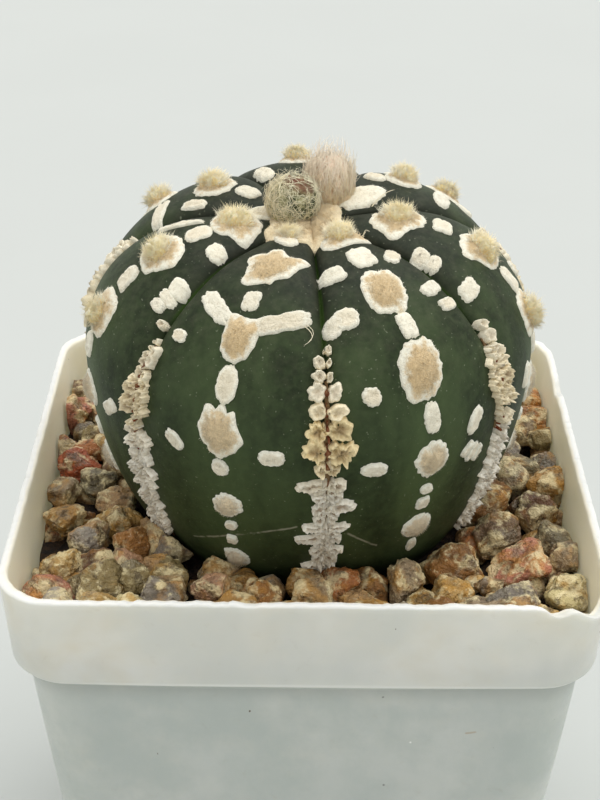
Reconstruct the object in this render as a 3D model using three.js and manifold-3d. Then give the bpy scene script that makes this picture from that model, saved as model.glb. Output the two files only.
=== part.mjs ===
// A sand dollar cactus in a square nursery pot: a seven-ribbed body with felted flecks, areole pads and
// two woolly buds, standing in potting mix under a top dressing of grit.
// Millimetres, +Z up. The origin is the middle of the pot's underside, and the plant's front faces -Y.

import * as THREE from "three";
import { mergeVertices } from "three/addons/utils/BufferGeometryUtils.js";
import Module from "manifold-3d";

const wasm = await Module();
wasm.setup();

const { degToRad, radToDeg, lerp } = THREE.MathUtils;

// Clearance between one piece and the next.
const GAP = 0.3;

const POT = {
  height: 70,
  rimHalf: 37.5, // half the width across the rim, which sizes everything else
  lipHeight: 13,
  lipFootHalf: 36.45, // half the width at the lip's lower edge
  neckHalf: 34.95, // half the width just under the lip
  footHalf: 28.7,
  wall: 1.1,
  floor: 1.5,
  corner: 0.19, // corner radius as a share of the half width
  drainRadius: 3.5,
  drainOffset: 13,
};
const LEDGE_Z = POT.height - POT.lipHeight;

const SOIL_TOP = 55.5;
const GRIT_TOP = 63; // level of the grit between the stones
const STONE = {
  pitch: 4.3,
  jitter: 0.9,
  least: 4.2, // width of the smallest stone, then of the largest
  most: 6.2,
  seat: 0.25, // how far a stone's middle lies under the grit level
};

const PLANT = {
  x: 0.1,
  y: 2,
  z: 87, // height of the body's widest ring
  radius: 29.6,
  crownRise: 21,
  baseDrop: 39,
  dimpleDepth: 4.2,
  dimpleRadius: 12.7,
  lean: 6.3, // the crown leans towards the front, in degrees
  ribs: 7,
  firstGroove: 4.7, // bearing of the groove nearest the front, in degrees towards +X
  creaseWidth: 0.09,
  creaseShare: 0.55,
};
const RIB = 360 / PLANT.ribs;

// Depth of the grooves by descent, the angle down from the crown in degrees.
const GROOVE_DEPTH = [
  [0, 0],
  [8, 0.9],
  [20, 1.9],
  [45, 2],
  [65, 1.4],
  [85, 1],
  [110, 0.8],
  [130, 0.5],
  [150, 0],
];

// The taproot below the body: radius and level, from the plant's middle.
const ROOT = [
  [6.2, -40.5],
  [4.6, -48],
  [2.6, -57],
  [0, -62],
];

// Felt marks on each rib, counted round from the one left of the front towards +X. Each mark is
// [degrees off the crest, descent, half width, half length, turn]; a rib's tufts stand on pads.
const MARKS = [
  {
    pads: [
      [2, 27, 3, 3.1, 20],
      [-1, 51.5, 2.1, 2.7, 0],
      [-0.5, 83, 2.6, 3.3, 0],
      [1, 102.5, 2, 2.1, 0],
      [1, 119, 1.8, 2, 0],
    ],
    tufts: [[-6, 11, 2.2, 2, 0]],
    flecks: [
      [0, 41, 1.3, 1.4, 0],
      [-10, 45.5, 3.1, 1, 31],
      [11, 46.5, 3.7, 1, -20],
      [0, 67, 1.5, 2.3, 0],
      [0, 93.5, 1.1, 1.2, 0],
      [12.5, 89.5, 1.6, 1.1, 0],
      [-12.5, 90.5, 1.6, 1, 40],
      [-18.5, 57, 1.1, 0.8, 0],
      [1.5, 108, 0.8, 0.8, 0],
      [1, 112.5, 0.7, 0.8, 0],
    ],
  },
  {
    pads: [
      [-0.9, 38.5, 3, 2.9, 20],
      [0, 64.5, 2.9, 3.5, 0],
      [0.6, 93.5, 2.4, 2.7, 10],
      [-0.4, 110.5, 2, 2.2, 30],
    ],
    tufts: [[4, 14, 2.4, 2.3, 0]],
    flecks: [
      [0.6, 25, 1.8, 1.9, 0],
      [-19, 28.5, 1.7, 1.2, -20],
      [0.6, 50.5, 1.3, 1.6, 0],
      [-22.5, 45.5, 1.1, 1.1, 0],
      [-18, 44.5, 1.2, 1.2, 0],
      [-14.4, 69, 1.2, 1.2, 0],
      [0.6, 80.5, 1.2, 2.1, 0],
      [-14.4, 93, 1.8, 1, 8],
      [0, 100.5, 0.9, 0.8, 0],
      [-0.4, 104, 1, 1, 0],
      [0, 117, 0.7, 1.4, 0],
      [16.5, 28, 1.6, 1, -35],
      [18, 42.5, 2, 1, -12],
      [19.5, 49, 1.6, 0.9, 0],
      [14, 88.5, 1, 1.9, 30],
      [12.6, 96.5, 0.8, 1.9, 35],
      [16.4, 95.5, 0.8, 2, 35],
    ],
  },
  {
    pads: [
      [0, 97, 2.4, 2.8, 0],
      [0, 112, 2.1, 2.2, 0],
    ],
    tufts: [
      [4, 22, 3, 3.3, 0],
      [2, 48, 3.1, 3.3, 0],
      [0, 74, 2.7, 3.2, 0],
    ],
    flecks: [
      [5, 35, 1.6, 1.4, 0],
      [-21.8, 32.5, 1.4, 1.2, 0],
      [-21.3, 36.8, 1.2, 1, 0],
      [-19.3, 50, 1.7, 1.3, 0],
      [1.7, 61.5, 1.3, 2.1, 0],
      [0, 86, 1.1, 1.8, 0],
      [-9.8, 91, 0.9, 1.7, 20],
      [14, 66, 1.4, 1.2, 30],
      [0, 105, 0.9, 1, 0],
    ],
  },
  {
    pads: [
      [0, 78, 2.5, 3, 0],
      [-1, 99, 2.2, 2.6, 0],
      [1, 115, 1.9, 2, 0],
      [2, 21, 2.3, 1.6, 0],
    ],
    tufts: [
      [1, 36, 2.7, 2.8, 0],
      [-3, 54, 2.6, 2.8, 0],
    ],
    flecks: [
      [10, 29, 1.7, 1.2, 0],
      [-14, 43, 2.5, 1.3, 40],
      [-13, 55, 1.3, 1.1, 0],
      [15, 48, 1.2, 1.6, 20],
      [0, 66, 1.2, 1.8, 0],
      [-1, 89, 1.1, 1.4, 0],
      [13, 84, 1.6, 1, 0],
      [0, 107, 0.9, 1, 0],
    ],
  },
  {
    pads: [
      [1, 64, 2.8, 3.1, 15],
      [0, 88, 2.4, 2.7, 0],
      [0, 107, 2, 2.2, 0],
    ],
    tufts: [[1, 39, 2.5, 2.7, 0]],
    flecks: [
      [20, 30, 1.1, 2.3, 0],
      [-12, 33, 1.5, 1.1, -20],
      [0, 51, 1.3, 1.9, 0],
      [-15, 62, 1.3, 1.2, 0],
      [0, 76, 1.2, 1.7, 0],
      [14, 86, 1.7, 1, 0],
      [0, 98, 1, 1.1, 0],
    ],
  },
  {
    pads: [
      [0, 76, 2.5, 2.9, 0],
      [0, 97, 2.2, 2.5, 0],
      [0, 114, 1.9, 2, 0],
    ],
    tufts: [
      [0, 31, 3, 3, 0],
      [2, 53, 2.6, 2.8, 0],
    ],
    flecks: [
      [-3, 20, 1.4, 1.9, 0],
      [13, 50, 3.5, 0.9, -8],
      [-13, 45, 1.5, 1.2, 0],
      [18, 32, 0.9, 1.8, 0],
      [0, 65, 1.2, 1.8, 0],
      [-14, 82, 1.2, 1.5, 20],
      [0, 87, 1.1, 1.4, 0],
      [0, 106, 0.9, 1, 0],
    ],
  },
  {
    pads: [
      [0, 95, 2.4, 2.7, 0],
      [0, 112, 2, 2.2, 0],
    ],
    tufts: [
      [-3, 19, 2.9, 3.1, 0],
      [1, 42, 3, 3.1, 0],
      [0, 68.5, 2.9, 3.3, 0],
    ],
    flecks: [
      [1, 30, 1.5, 1.8, 0],
      [18.9, 29, 1.5, 1.3, 0],
      [0, 54.5, 1.5, 1.8, 0],
      [20.9, 45, 1.1, 1, 0],
      [20.4, 49.3, 0.9, 0.8, 0],
      [20, 53.3, 1, 0.9, 0],
      [-1, 82, 1.2, 1.8, 0],
      [13.9, 93, 1.7, 1, -40],
      [0, 104, 1, 1.2, 0],
    ],
  },
];
// How each kind of mark stands on the skin: its height, how deep its foot is buried, the number of
// its sides and the width of its top as a share of its foot.
const PAD = { height: 0.75, sink: 0.5, sides: 7, top: 0.72 };
const FLECK = { height: 0.6, sink: 0.25, sides: 6, top: 0 };
const TUFT = { height: 1.9, sink: 0.3, sides: 7, top: 0.6, share: 0.62 };
const WOOL = { height: 0.9, sink: 0.6, sides: 12, top: 0.8, radius: 6.4 };

// The toothed corky bands that fill the lower part of each groove.
const BAND = {
  starts: [56, 50, 54, 52, 55, 52, 53], // descent of the top row, groove by groove from the front
  end: 123,
  rows: 12,
  height: 0.9,
  edgeHeight: 0.6,
  sink: 0.5,
  notch: 0.45, // width at a notch as a share of the width at a tooth
  droop: 1, // how many degrees further down a tooth's tip lies than its root
};
const BAND_HALF_WIDTH = [
  [50, 1.1],
  [58, 1.7],
  [70, 2.3],
  [80, 2.7],
  [95, 3],
  [110, 3.2],
  [123, 2],
];

// Middle, radius and number of scales of each bud, from the plant's middle.
const BUDS = {
  bud_front: { at: [-2.2, 0.6, 19.1], radius: 3.6, scales: 30 },
  bud_back: { at: [2.6, 7, 18], radius: 3.9, scales: 34 },
};
const BUD_SCALE_DEPTH = 0.11;

const COLOURS = {
  pot: { color: 0xd9dad4, roughness: 0.45, metalness: 0 },
  soil: { color: 0x3c2f26, roughness: 0.95, metalness: 0 },
  gravel: { color: 0x96795a, roughness: 0.75, metalness: 0 },
  cactus: { color: 0x3c4c38, roughness: 0.55, metalness: 0 },
  bud_front: { color: 0x8d8a78, roughness: 0.95, metalness: 0 },
  bud_back: { color: 0xb89c88, roughness: 0.95, metalness: 0 },
};

// A repeatable stream of numbers from 0 to 1.
function draws(seed) {
  let state = seed;
  return () => {
    state = (state * 16807) % 2147483647;
    return state / 2147483647;
  };
}

// The value at x of a list of [x, value] pairs, with straight lines between them.
function read(list, x) {
  if (x <= list[0][0]) return list[0][1];
  for (let i = 1; i < list.length; i++) {
    const [x0, y0] = list[i - 1];
    const [x1, y1] = list[i];
    if (x <= x1) return lerp(y0, y1, (x - x0) / (x1 - x0));
  }
  return list.at(-1)[1];
}

// A closed geometry as a solid that can be joined and cut.
function solid(geometry) {
  const bare = geometry.clone();
  bare.deleteAttribute("normal");
  bare.deleteAttribute("uv");
  const merged = mergeVertices(bare, 1e-4);
  const triangles = [];
  const index = merged.index.array;
  for (let i = 0; i < index.length; i += 3) {
    const [a, b, c] = index.slice(i, i + 3);
    if (a !== b && b !== c && c !== a) triangles.push(a, b, c);
  }
  const vertProperties = new Float32Array(merged.attributes.position.array);
  const triVerts = new Uint32Array(triangles);
  return new wasm.Manifold(new wasm.Mesh({ numProp: 3, vertProperties, triVerts }));
}

function unite(solids) {
  return wasm.Manifold.union(solids);
}

// A solid as a geometry.
function geometryOf(body) {
  const { numProp, numVert, vertProperties, triVerts } = body.getMesh();
  const positions = new Float32Array(numVert * 3);
  for (let i = 0; i < numVert; i++) {
    positions.set(vertProperties.subarray(i * numProp, i * numProp + 3), i * 3);
  }
  const geometry = new THREE.BufferGeometry();
  geometry.setAttribute("position", new THREE.BufferAttribute(positions, 3));
  geometry.setIndex(new THREE.BufferAttribute(new Uint32Array(triVerts), 1));
  return geometry;
}

// The largest closed surface of a solid, which drops any air pocket trapped between marks.
function outerShell(body) {
  const shells = solid(geometryOf(body)).decompose();
  return shells.reduce((best, next) => (next.volume() > best.volume() ? next : best));
}

// A solid as a named mesh in its own colour.
function meshOf(name, body) {
  const flat = geometryOf(body).toNonIndexed();
  flat.computeVertexNormals();
  const mesh = new THREE.Mesh(flat, new THREE.MeshStandardMaterial(COLOURS[name]));
  mesh.name = name;
  return mesh;
}

// Moves each vertex of a geometry to where place(vertex) says.
function reshape(geometry, place) {
  const position = geometry.attributes.position;
  const vertex = new THREE.Vector3();
  for (let i = 0; i < position.count; i++) {
    vertex.fromBufferAttribute(position, i);
    position.setXYZ(i, ...place(vertex, i).toArray());
  }
  return geometry;
}

// The pot

// A block with rounded corners whose half width runs from lowHalf at z0 to highHalf at z1.
function taperedBlock(lowHalf, highHalf, z0, z1) {
  const r = POT.corner;
  const outline = new THREE.Shape();
  outline.moveTo(1 - r, -1);
  outline.absarc(1 - r, -1 + r, r, -Math.PI / 2, 0);
  outline.absarc(1 - r, 1 - r, r, 0, Math.PI / 2);
  outline.absarc(-1 + r, 1 - r, r, Math.PI / 2, Math.PI);
  outline.absarc(-1 + r, -1 + r, r, Math.PI, Math.PI * 1.5);
  const block = new THREE.ExtrudeGeometry(outline, {
    depth: 1,
    bevelEnabled: false,
    curveSegments: 5,
  });
  reshape(block, (v) => {
    const half = lerp(lowHalf, highHalf, v.z);
    return v.set(v.x * half, v.y * half, lerp(z0, z1, v.z));
  });
  return solid(block);
}

// The room inside the pot's walls, drawn in by inset.
function cavity(inset) {
  const { wall, floor, footHalf, neckHalf, lipFootHalf, rimHalf, height } = POT;
  const inner = wall + inset;
  const atFloor = lerp(footHalf, neckHalf, floor / LEDGE_Z) - inner;
  const lower = taperedBlock(atFloor, neckHalf - inner, floor + inset, LEDGE_Z + wall + 1);
  const upper = taperedBlock(
    lipFootHalf - inner,
    rimHalf - inner,
    LEDGE_Z + wall + inset,
    height + 1,
  );
  return lower.add(upper);
}

function drainHole(x, y) {
  const hole = new THREE.CylinderGeometry(POT.drainRadius, POT.drainRadius, POT.floor * 4, 16);
  return solid(hole.rotateX(Math.PI / 2).translate(x, y, 0));
}

function pot() {
  const below = taperedBlock(POT.footHalf, POT.neckHalf, 0, LEDGE_Z + POT.wall);
  const lip = taperedBlock(POT.lipFootHalf, POT.rimHalf, LEDGE_Z, POT.height);
  let shell = below.add(lip).subtract(cavity(0));
  for (const x of [-POT.drainOffset, POT.drainOffset]) {
    for (const y of [-POT.drainOffset, POT.drainOffset]) {
      shell = shell.subtract(drainHole(x, y));
    }
  }
  return shell;
}

// The plant's skin

// Radius and level of the smooth body at a descent from the crown, without its grooves.
function profile(descent) {
  const a = degToRad(descent);
  const r = PLANT.radius * Math.sin(a);
  if (descent > 90) return [r, PLANT.baseDrop * Math.cos(a)];
  const dimple = PLANT.dimpleDepth * Math.exp(-((r / PLANT.dimpleRadius) ** 2));
  return [r, PLANT.crownRise * Math.cos(a) - dimple];
}

// Depth of the surface under the smooth body: each rib is a lobe, with a sharp crease at its grooves.
function grooveDepth(bearing, descent) {
  const turns = (bearing - PLANT.firstGroove) / RIB;
  const fromGroove = Math.abs(turns - Math.round(turns)) * 2;
  const lobe = (1 - PLANT.creaseShare) * (1 - fromGroove) ** 2;
  const crease = PLANT.creaseShare * Math.exp(-fromGroove / PLANT.creaseWidth);
  return read(GROOVE_DEPTH, descent) * (lobe + crease);
}

// The point of the skin at a bearing and descent, raised by lift along the smooth body's normal.
function skin(bearing, descent, lift = 0) {
  const [r, z] = profile(descent);
  const [r0, z0] = profile(Math.max(descent - 0.5, 0));
  const [r1, z1] = profile(descent + 0.5);
  const length = Math.hypot(r1 - r0, z1 - z0);
  const out = lift - grooveDepth(bearing, descent);
  const radius = Math.max(r + ((z0 - z1) / length) * out, 0);
  const level = z + ((r1 - r0) / length) * out;
  const b = degToRad(bearing);
  return new THREE.Vector3(radius * Math.sin(b), -radius * Math.cos(b), level);
}

// The bearing and descent of the skin nearest to a point.
function anglesAt(point) {
  const r = Math.hypot(point.x, point.y);
  const dimple = PLANT.dimpleDepth * Math.exp(-((r / PLANT.dimpleRadius) ** 2));
  const rise = point.z > 0 ? (point.z + dimple) / PLANT.crownRise : point.z / PLANT.baseDrop;
  const descent = radToDeg(Math.atan2(r / PLANT.radius, rise));
  return [radToDeg(Math.atan2(point.x, -point.y)), descent];
}

// The body and its taproot, turned from the profile and then grooved. A raise swells it all round,
// and then it is left without grooves.
function body(raise = 0) {
  const step = 8;
  const end = 152;
  const perRib = 6;
  const outline = [];
  for (let descent = 0; descent <= end; descent += step) {
    const [r, z] = profile(descent);
    outline.push(new THREE.Vector2(r, z));
  }
  const rings = outline.length;
  for (const [r, z] of ROOT) outline.push(new THREE.Vector2(r ? r + raise : 0, r ? z : z - raise));
  // The outline is drawn from the crown down, so it is turned over to face outwards.
  const turned = new THREE.LatheGeometry(outline.reverse(), PLANT.ribs * perRib);
  turned.rotateX(Math.PI / 2);
  return solid(
    reshape(turned, (v, i) => {
      const ring = outline.length - 1 - (i % outline.length);
      const bearing = PLANT.firstGroove + (Math.floor(i / outline.length) * RIB) / perRib;
      if (ring >= rings) return v;
      const smooth = raise ? raise + grooveDepth(bearing, ring * step) : 0;
      return skin(bearing, ring * step, smooth);
    }),
  );
}

// A low button of felt that follows the skin, with a wavering outline and a buried foot.
function button(bearing, descent, [halfWidth, halfLength, turn], kind, draw) {
  const { height, sink, sides, top } = kind;
  const spread = 1 / lerp(1, top, sink / (sink + height));
  const middle = skin(bearing, descent);
  const across = skin(bearing + 0.5, descent).sub(skin(bearing - 0.5, descent)).normalize();
  const down = skin(bearing, descent + 0.5).sub(skin(bearing, descent - 0.5)).normalize();
  const disc = new THREE.CylinderGeometry(top, 1, 1, sides).rotateX(Math.PI / 2);
  const t = degToRad(turn);
  const phase = draw() * Math.PI * 2;
  return solid(
    reshape(disc, (v) => {
      const round = Math.atan2(v.y, v.x);
      const waver = 1 + 0.12 * Math.sin(3 * round + phase);
      const u = v.x * halfWidth * waver * spread;
      const w = -v.y * halfLength * waver * spread;
      const at = middle
        .clone()
        .addScaledVector(across, u * Math.cos(t) - w * Math.sin(t))
        .addScaledVector(down, u * Math.sin(t) + w * Math.cos(t));
      const domed = Math.hypot(v.x, v.y) < 0.1 ? 1.3 : 1;
      return skin(...anglesAt(at), v.z > 0 ? height * domed : -sink);
    }),
  );
}

// The pads, tufts and flecks of every rib.
function marks(draw) {
  const pieces = [];
  MARKS.forEach(({ pads, tufts, flecks }, rib) => {
    const crest = PLANT.firstGroove + (rib - 0.5) * RIB;
    for (const [off, descent, ...size] of [...pads, ...tufts]) {
      pieces.push(button(crest + off, descent, size, PAD, draw));
    }
    for (const [off, descent, ...size] of flecks) {
      pieces.push(button(crest + off, descent, size, FLECK, draw));
    }
    for (const [off, descent, width, length] of tufts) {
      const size = [width * TUFT.share, length * TUFT.share, 0];
      pieces.push(button(crest + off, descent, size, TUFT, draw));
    }
  });
  pieces.push(button(10, 2, [WOOL.radius, WOOL.radius, 0], WOOL, draw));
  return pieces;
}

// The corky band of one groove: a ribbon that fills the crease, its edges drawn out into teeth that
// are staggered from side to side as in a zip.
function band(start, groove, draw) {
  const stations = BAND.rows * 2;
  const bearing = PLANT.firstGroove + groove * RIB;
  const reaches = [-1, 1].map((side) =>
    Array.from({ length: stations + 1 }, (_, i) => {
      const tooth = i % 2 === (side > 0 ? 1 : 0);
      return side * (tooth ? 1 : BAND.notch) * lerp(0.85, 1.15, draw());
    }),
  );
  const ribbon = new THREE.BoxGeometry(2, 1, 2, 2, stations, 1);
  return solid(
    reshape(ribbon, (v) => {
      const station = Math.round((0.5 - v.y) * stations);
      const descent = lerp(start, BAND.end, station / stations);
      const reach = v.x ? reaches[v.x > 0 ? 1 : 0][station] : 0;
      const across = radToDeg((reach * read(BAND_HALF_WIDTH, descent)) / profile(descent)[0]);
      const droop = Math.abs(reach) > 0.8 ? BAND.droop : 0;
      const top = v.x ? BAND.edgeHeight : BAND.height;
      return skin(bearing + across, descent + droop, v.z > 0 ? top : -BAND.sink);
    }),
  );
}

// The buds

// A ball whose surface sinks between overlapping scales set in a spiral.
function bud({ at, radius, scales }) {
  const golden = Math.PI * (3 - Math.sqrt(5));
  const tips = [];
  for (let i = 0; i < scales; i++) {
    const z = 1 - (2 * (i + 0.5)) / scales;
    const ring = Math.sqrt(1 - z * z);
    tips.push(new THREE.Vector3(ring * Math.cos(i * golden), ring * Math.sin(i * golden), z));
  }
  const spread = Math.sqrt(4 / scales);
  const ball = new THREE.IcosahedronGeometry(1, 3);
  return solid(
    reshape(ball, (v) => {
      v.normalize();
      const nearest = Math.min(...tips.map((tip) => tip.angleTo(v)));
      const sunk = BUD_SCALE_DEPTH * Math.min(1, (nearest / spread) ** 2);
      return v.multiplyScalar(radius * (1 - sunk)).add(new THREE.Vector3(...at));
    }),
  );
}

function socket({ at, radius }) {
  return solid(new THREE.IcosahedronGeometry(radius + GAP + 0.05, 4).translate(...at));
}

function cactus() {
  const draw = draws(41);
  const bands = BAND.starts.map((start, groove) => band(start, groove, draw));
  const whole = unite([body(), ...marks(draw), ...bands]);
  return outerShell(whole.subtract(unite(Object.values(BUDS).map(socket))));
}

// The fill

// Width, position and seed of every stone: first the large ones that show in front, then a
// staggered grid of others wherever there is room between the body and the pot.
const LARGE_STONES = [
  [-35, 22, 5.4],
  [-31, 16, 5],
  [-35, 11.5, 4.4],
  [-32.5, 7, 5.4],
  [-29, 2.8, 4.4],
  [-26, -1.5, 4.6],
  [-32.5, -6.5, 5],
  [-28.5, -11.5, 4.6],
  [-23, -14, 4.8],
  [-31.5, -18.8, 5.2],
  [-26.5, -23.2, 7],
  [-17.5, -25.8, 6],
  [-11.5, -24.2, 4.6],
  [-5.4, -26.3, 5.6],
  [1.2, -26.5, 5.6],
  [6.8, -26.2, 4.8],
  [12.6, -21.5, 5.6],
  [19.5, -17.3, 7.2],
  [19, -24.4, 6],
  [14.6, -27.2, 4],
  [23.6, -23, 3.2],
  [28.4, -17.3, 7.6],
  [26.4, -27.6, 6.8],
  [33.2, -24, 6.6],
  [25.2, -9.2, 6.4],
  [30.5, -5, 5.8],
  [34, 1.6, 6.6],
  [34.6, 8.8, 5],
  [34, 21.5, 5.8],
  [34, 28, 5.2],
];

function stoneRoom(x, y, width, placed) {
  const half = POT.rimHalf - POT.wall - 0.3 * width;
  if (Math.abs(x) > half || Math.abs(y) > half) return false;
  const depth = GRIT_TOP - PLANT.z;
  const lean = degToRad(PLANT.lean);
  const ring = PLANT.radius * Math.sqrt(1 - (depth / PLANT.baseDrop) ** 2);
  const middleY = PLANT.y - depth * Math.sin(lean);
  if (Math.hypot(x - PLANT.x, y - middleY) < ring + 0.25 * width) return false;
  return placed.every(([px, py, pw]) => Math.hypot(x - px, y - py) > 0.36 * (width + pw));
}

function stonePlaces() {
  const draw = draws(7);
  const placed = LARGE_STONES.slice();
  const rowPitch = STONE.pitch * 0.87;
  for (let row = -8; row <= 8; row++) {
    for (let i = -8; i <= 8; i++) {
      const x = (i + (row % 2 ? 0.5 : 0)) * STONE.pitch + STONE.jitter * (2 * draw() - 1);
      const y = row * rowPitch + STONE.jitter * (2 * draw() - 1);
      const width = lerp(STONE.least, STONE.most, draw());
      if (stoneRoom(x, y, width, placed)) placed.push([x, y, width]);
    }
  }
  return placed;
}

// One angular stone: a jittered icosahedron, flattened and turned.
function stone([x, y, width], draw) {
  const bare = new THREE.IcosahedronGeometry(1, 0);
  bare.deleteAttribute("normal");
  bare.deleteAttribute("uv");
  const chunk = mergeVertices(bare, 1e-3);
  reshape(chunk, (v) => v.multiplyScalar(lerp(0.85, 1.18, draw())));
  const flat = lerp(0.68, 0.9, draw());
  chunk.scale(width / 2, (width / 2) * lerp(0.8, 1, draw()), (width / 2) * flat);
  chunk.rotateX((draw() - 0.5) * 0.7);
  chunk.rotateZ(draw() * Math.PI * 2);
  const level = GRIT_TOP - STONE.seat + (draw() - 0.5) * 1.2;
  return solid(chunk.translate(x, y, level));
}

function slab(z0, z1) {
  const side = POT.rimHalf * 4;
  return solid(new THREE.BoxGeometry(side, side, z1 - z0).translate(0, 0, (z0 + z1) / 2));
}

// The hole that the plant stands in, wider than the plant by clearance.
function plantHole(clearance, frame) {
  return body(clearance).transform(frame.elements.slice());
}

function soil(frame) {
  return cavity(GAP).intersect(slab(0, SOIL_TOP)).subtract(plantHole(GAP + 0.05, frame));
}

function gravel(frame) {
  const draw = draws(23);
  const bed = cavity(GAP).intersect(slab(SOIL_TOP + GAP, GRIT_TOP));
  const stones = stonePlaces().map((place) => stone(place, draw));
  const heap = unite([bed, ...stones]).intersect(cavity(GAP));
  return outerShell(heap.subtract(plantHole(GAP + PAD.height, frame)));
}

// The assembly: the plant leans as one piece, with its buds.
const plant = new THREE.Group();
plant.position.set(PLANT.x, PLANT.y, PLANT.z);
plant.rotation.x = degToRad(PLANT.lean);
plant.updateMatrix();
plant.add(meshOf("cactus", cactus()));
for (const [name, shape] of Object.entries(BUDS)) plant.add(meshOf(name, bud(shape)));

const group = new THREE.Group();
group.add(meshOf("pot", pot()));
group.add(meshOf("soil", soil(plant.matrix)));
group.add(meshOf("gravel", gravel(plant.matrix)));
group.add(plant);

export default group;
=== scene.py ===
# A sand dollar cactus in a square nursery pot, dressed over its solids: a seven-ribbed body with felted
# marks, corky bands and two woolly buds, standing in a top dressing of grit.
# Lengths are in millimetres and angles in degrees unless a name says otherwise. A mesh is put into
# metres as it is made. +Z is up, the origin is the middle of the pot's underside, and the plant's front
# faces -Y. A bearing is counted round from the front towards +X, and a descent is the angle down from
# the crown.
import functools
import itertools
import math
from collections import Counter, namedtuple

import bpy
import numpy as np
from mathutils import Matrix, Vector


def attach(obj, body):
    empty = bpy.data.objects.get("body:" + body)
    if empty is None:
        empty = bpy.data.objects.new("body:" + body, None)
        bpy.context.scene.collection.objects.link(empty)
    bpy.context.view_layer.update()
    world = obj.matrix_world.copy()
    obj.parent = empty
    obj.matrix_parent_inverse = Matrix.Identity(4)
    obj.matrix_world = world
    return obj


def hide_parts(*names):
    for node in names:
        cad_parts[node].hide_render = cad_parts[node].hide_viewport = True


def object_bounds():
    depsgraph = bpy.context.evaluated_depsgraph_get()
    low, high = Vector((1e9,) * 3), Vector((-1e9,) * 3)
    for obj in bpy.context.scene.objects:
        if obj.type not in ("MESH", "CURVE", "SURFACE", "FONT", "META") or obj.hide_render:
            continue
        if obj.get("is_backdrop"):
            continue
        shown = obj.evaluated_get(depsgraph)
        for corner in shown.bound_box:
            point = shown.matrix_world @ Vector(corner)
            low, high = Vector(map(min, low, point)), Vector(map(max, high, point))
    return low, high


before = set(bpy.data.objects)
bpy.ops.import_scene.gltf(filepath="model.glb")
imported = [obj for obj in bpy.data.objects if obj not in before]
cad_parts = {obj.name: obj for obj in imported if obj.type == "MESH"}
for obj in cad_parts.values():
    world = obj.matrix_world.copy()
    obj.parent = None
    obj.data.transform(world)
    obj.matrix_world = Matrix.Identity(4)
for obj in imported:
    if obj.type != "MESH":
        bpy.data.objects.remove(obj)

CAD_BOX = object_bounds()

bl_info = {
    "name": "Potted Sand Dollar Cactus",
    "version": (1, 0, 0),
    "blender": (4, 5, 0),
    "location": "View3D > Sidebar > Cactus",
    "description": "Dresses the solids of a potted sand dollar cactus with its skin, felt, wool and grit",
    "category": "Object",
}

MM = 0.001

POT = dict(
    height=70.0,
    rim_half=37.5,  # half the width across the rim
    lip_height=13.0,
    lip_foot_half=36.45,
    neck_half=34.95,
    foot_half=28.7,
    wall=1.1,
    floor=1.5,
    corner=0.19,  # corner radius as a share of the half width
    drain_radius=3.5,
    drain_offset=13.0,
)
LEDGE_Z = POT["height"] - POT["lip_height"]
LIP_SAG = 0.7
WALL_BOW = 0.22
RIM_ZONE = 62.0  # level that the dents of the rim reach down to
DRAIN_REACH = 4.0  # how far the holes' cutters stand to each side of the underside
# Dots and a smear on the front wall, each from one place to another: start, end, half width, colour.
POT_SPOTS = [
    ((9.74, -34.7, 54.5), (9.76, -34.7, 54.6), 0.2, (84, 84, 78)),
    ((10.34, -33.0, 39.1), (10.36, -33.0, 39.2), 0.24, (60, 60, 56)),
    ((13.49, -33.8, 46.75), (13.51, -33.8, 46.85), 0.2, (250, 250, 246)),
    ((20.4, -34.0, 48.5), (21.6, -34.05, 48.7), 0.26, (174, 156, 130)),
]
# Places where the rim is dented: x, y, half length along the rim, depth.
RIM_DENTS = [(30.2, -37.4, 1.5, 1.1), (36.8, -36.6, 3.4, 3.6), (37.5, 20.0, 2.2, 0.9)]

SOIL_TOP = 55.5
GRIT_TOP = 63.0
STONE = dict(pitch=4.3, jitter=0.9, least=4.2, most=6.2, seat=0.25, flats=15, chips=34, under=330)
# The bed of the stones: radius of its hole and the level that it is centred at, its top and its rows.
BED = dict(hole=21.5, level=60.0, top=59.8, rings=26)

PLANT = dict(
    x=0.1,
    y=2.0,
    z=87.0,  # height of the body's widest ring
    radius=29.6,
    crown_rise=21.0,
    base_drop=39.0,
    dimple_depth=4.2,
    dimple_radius=12.7,
    lean=6.3,
    ribs=7,
    first_groove=4.7,
    crease_width=0.09,
    crease_share=0.55,
)
RIB = 360 / PLANT["ribs"]
LEAN_COS, LEAN_SIN = math.cos(math.radians(PLANT["lean"])), math.sin(math.radians(PLANT["lean"]))
# The body's ring at the level of the grit: how far it is below the middle, its radius and its middle.
RING_DROP = GRIT_TOP - PLANT["z"]
RING_RADIUS = PLANT["radius"] * math.sqrt(1 - (RING_DROP / PLANT["base_drop"]) ** 2)
RING_Y = PLANT["y"] - RING_DROP * LEAN_SIN
BODY_COLUMNS = 60  # in each rib
LAST_DESCENT = 152.0
# Depth of the grooves by descent.
GROOVE_DEPTH = [(0, 0), (8, 0.9), (20, 1.9), (45, 2), (65, 1.4), (85, 1), (110, 0.8), (130, 0.5), (150, 0)]
# The taproot below the body: radius and level, from the plant's middle.
ROOT = [(6.2, -40.5), (4.6, -48), (2.6, -57)]
ROOT_TIP = -62.0

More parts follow.
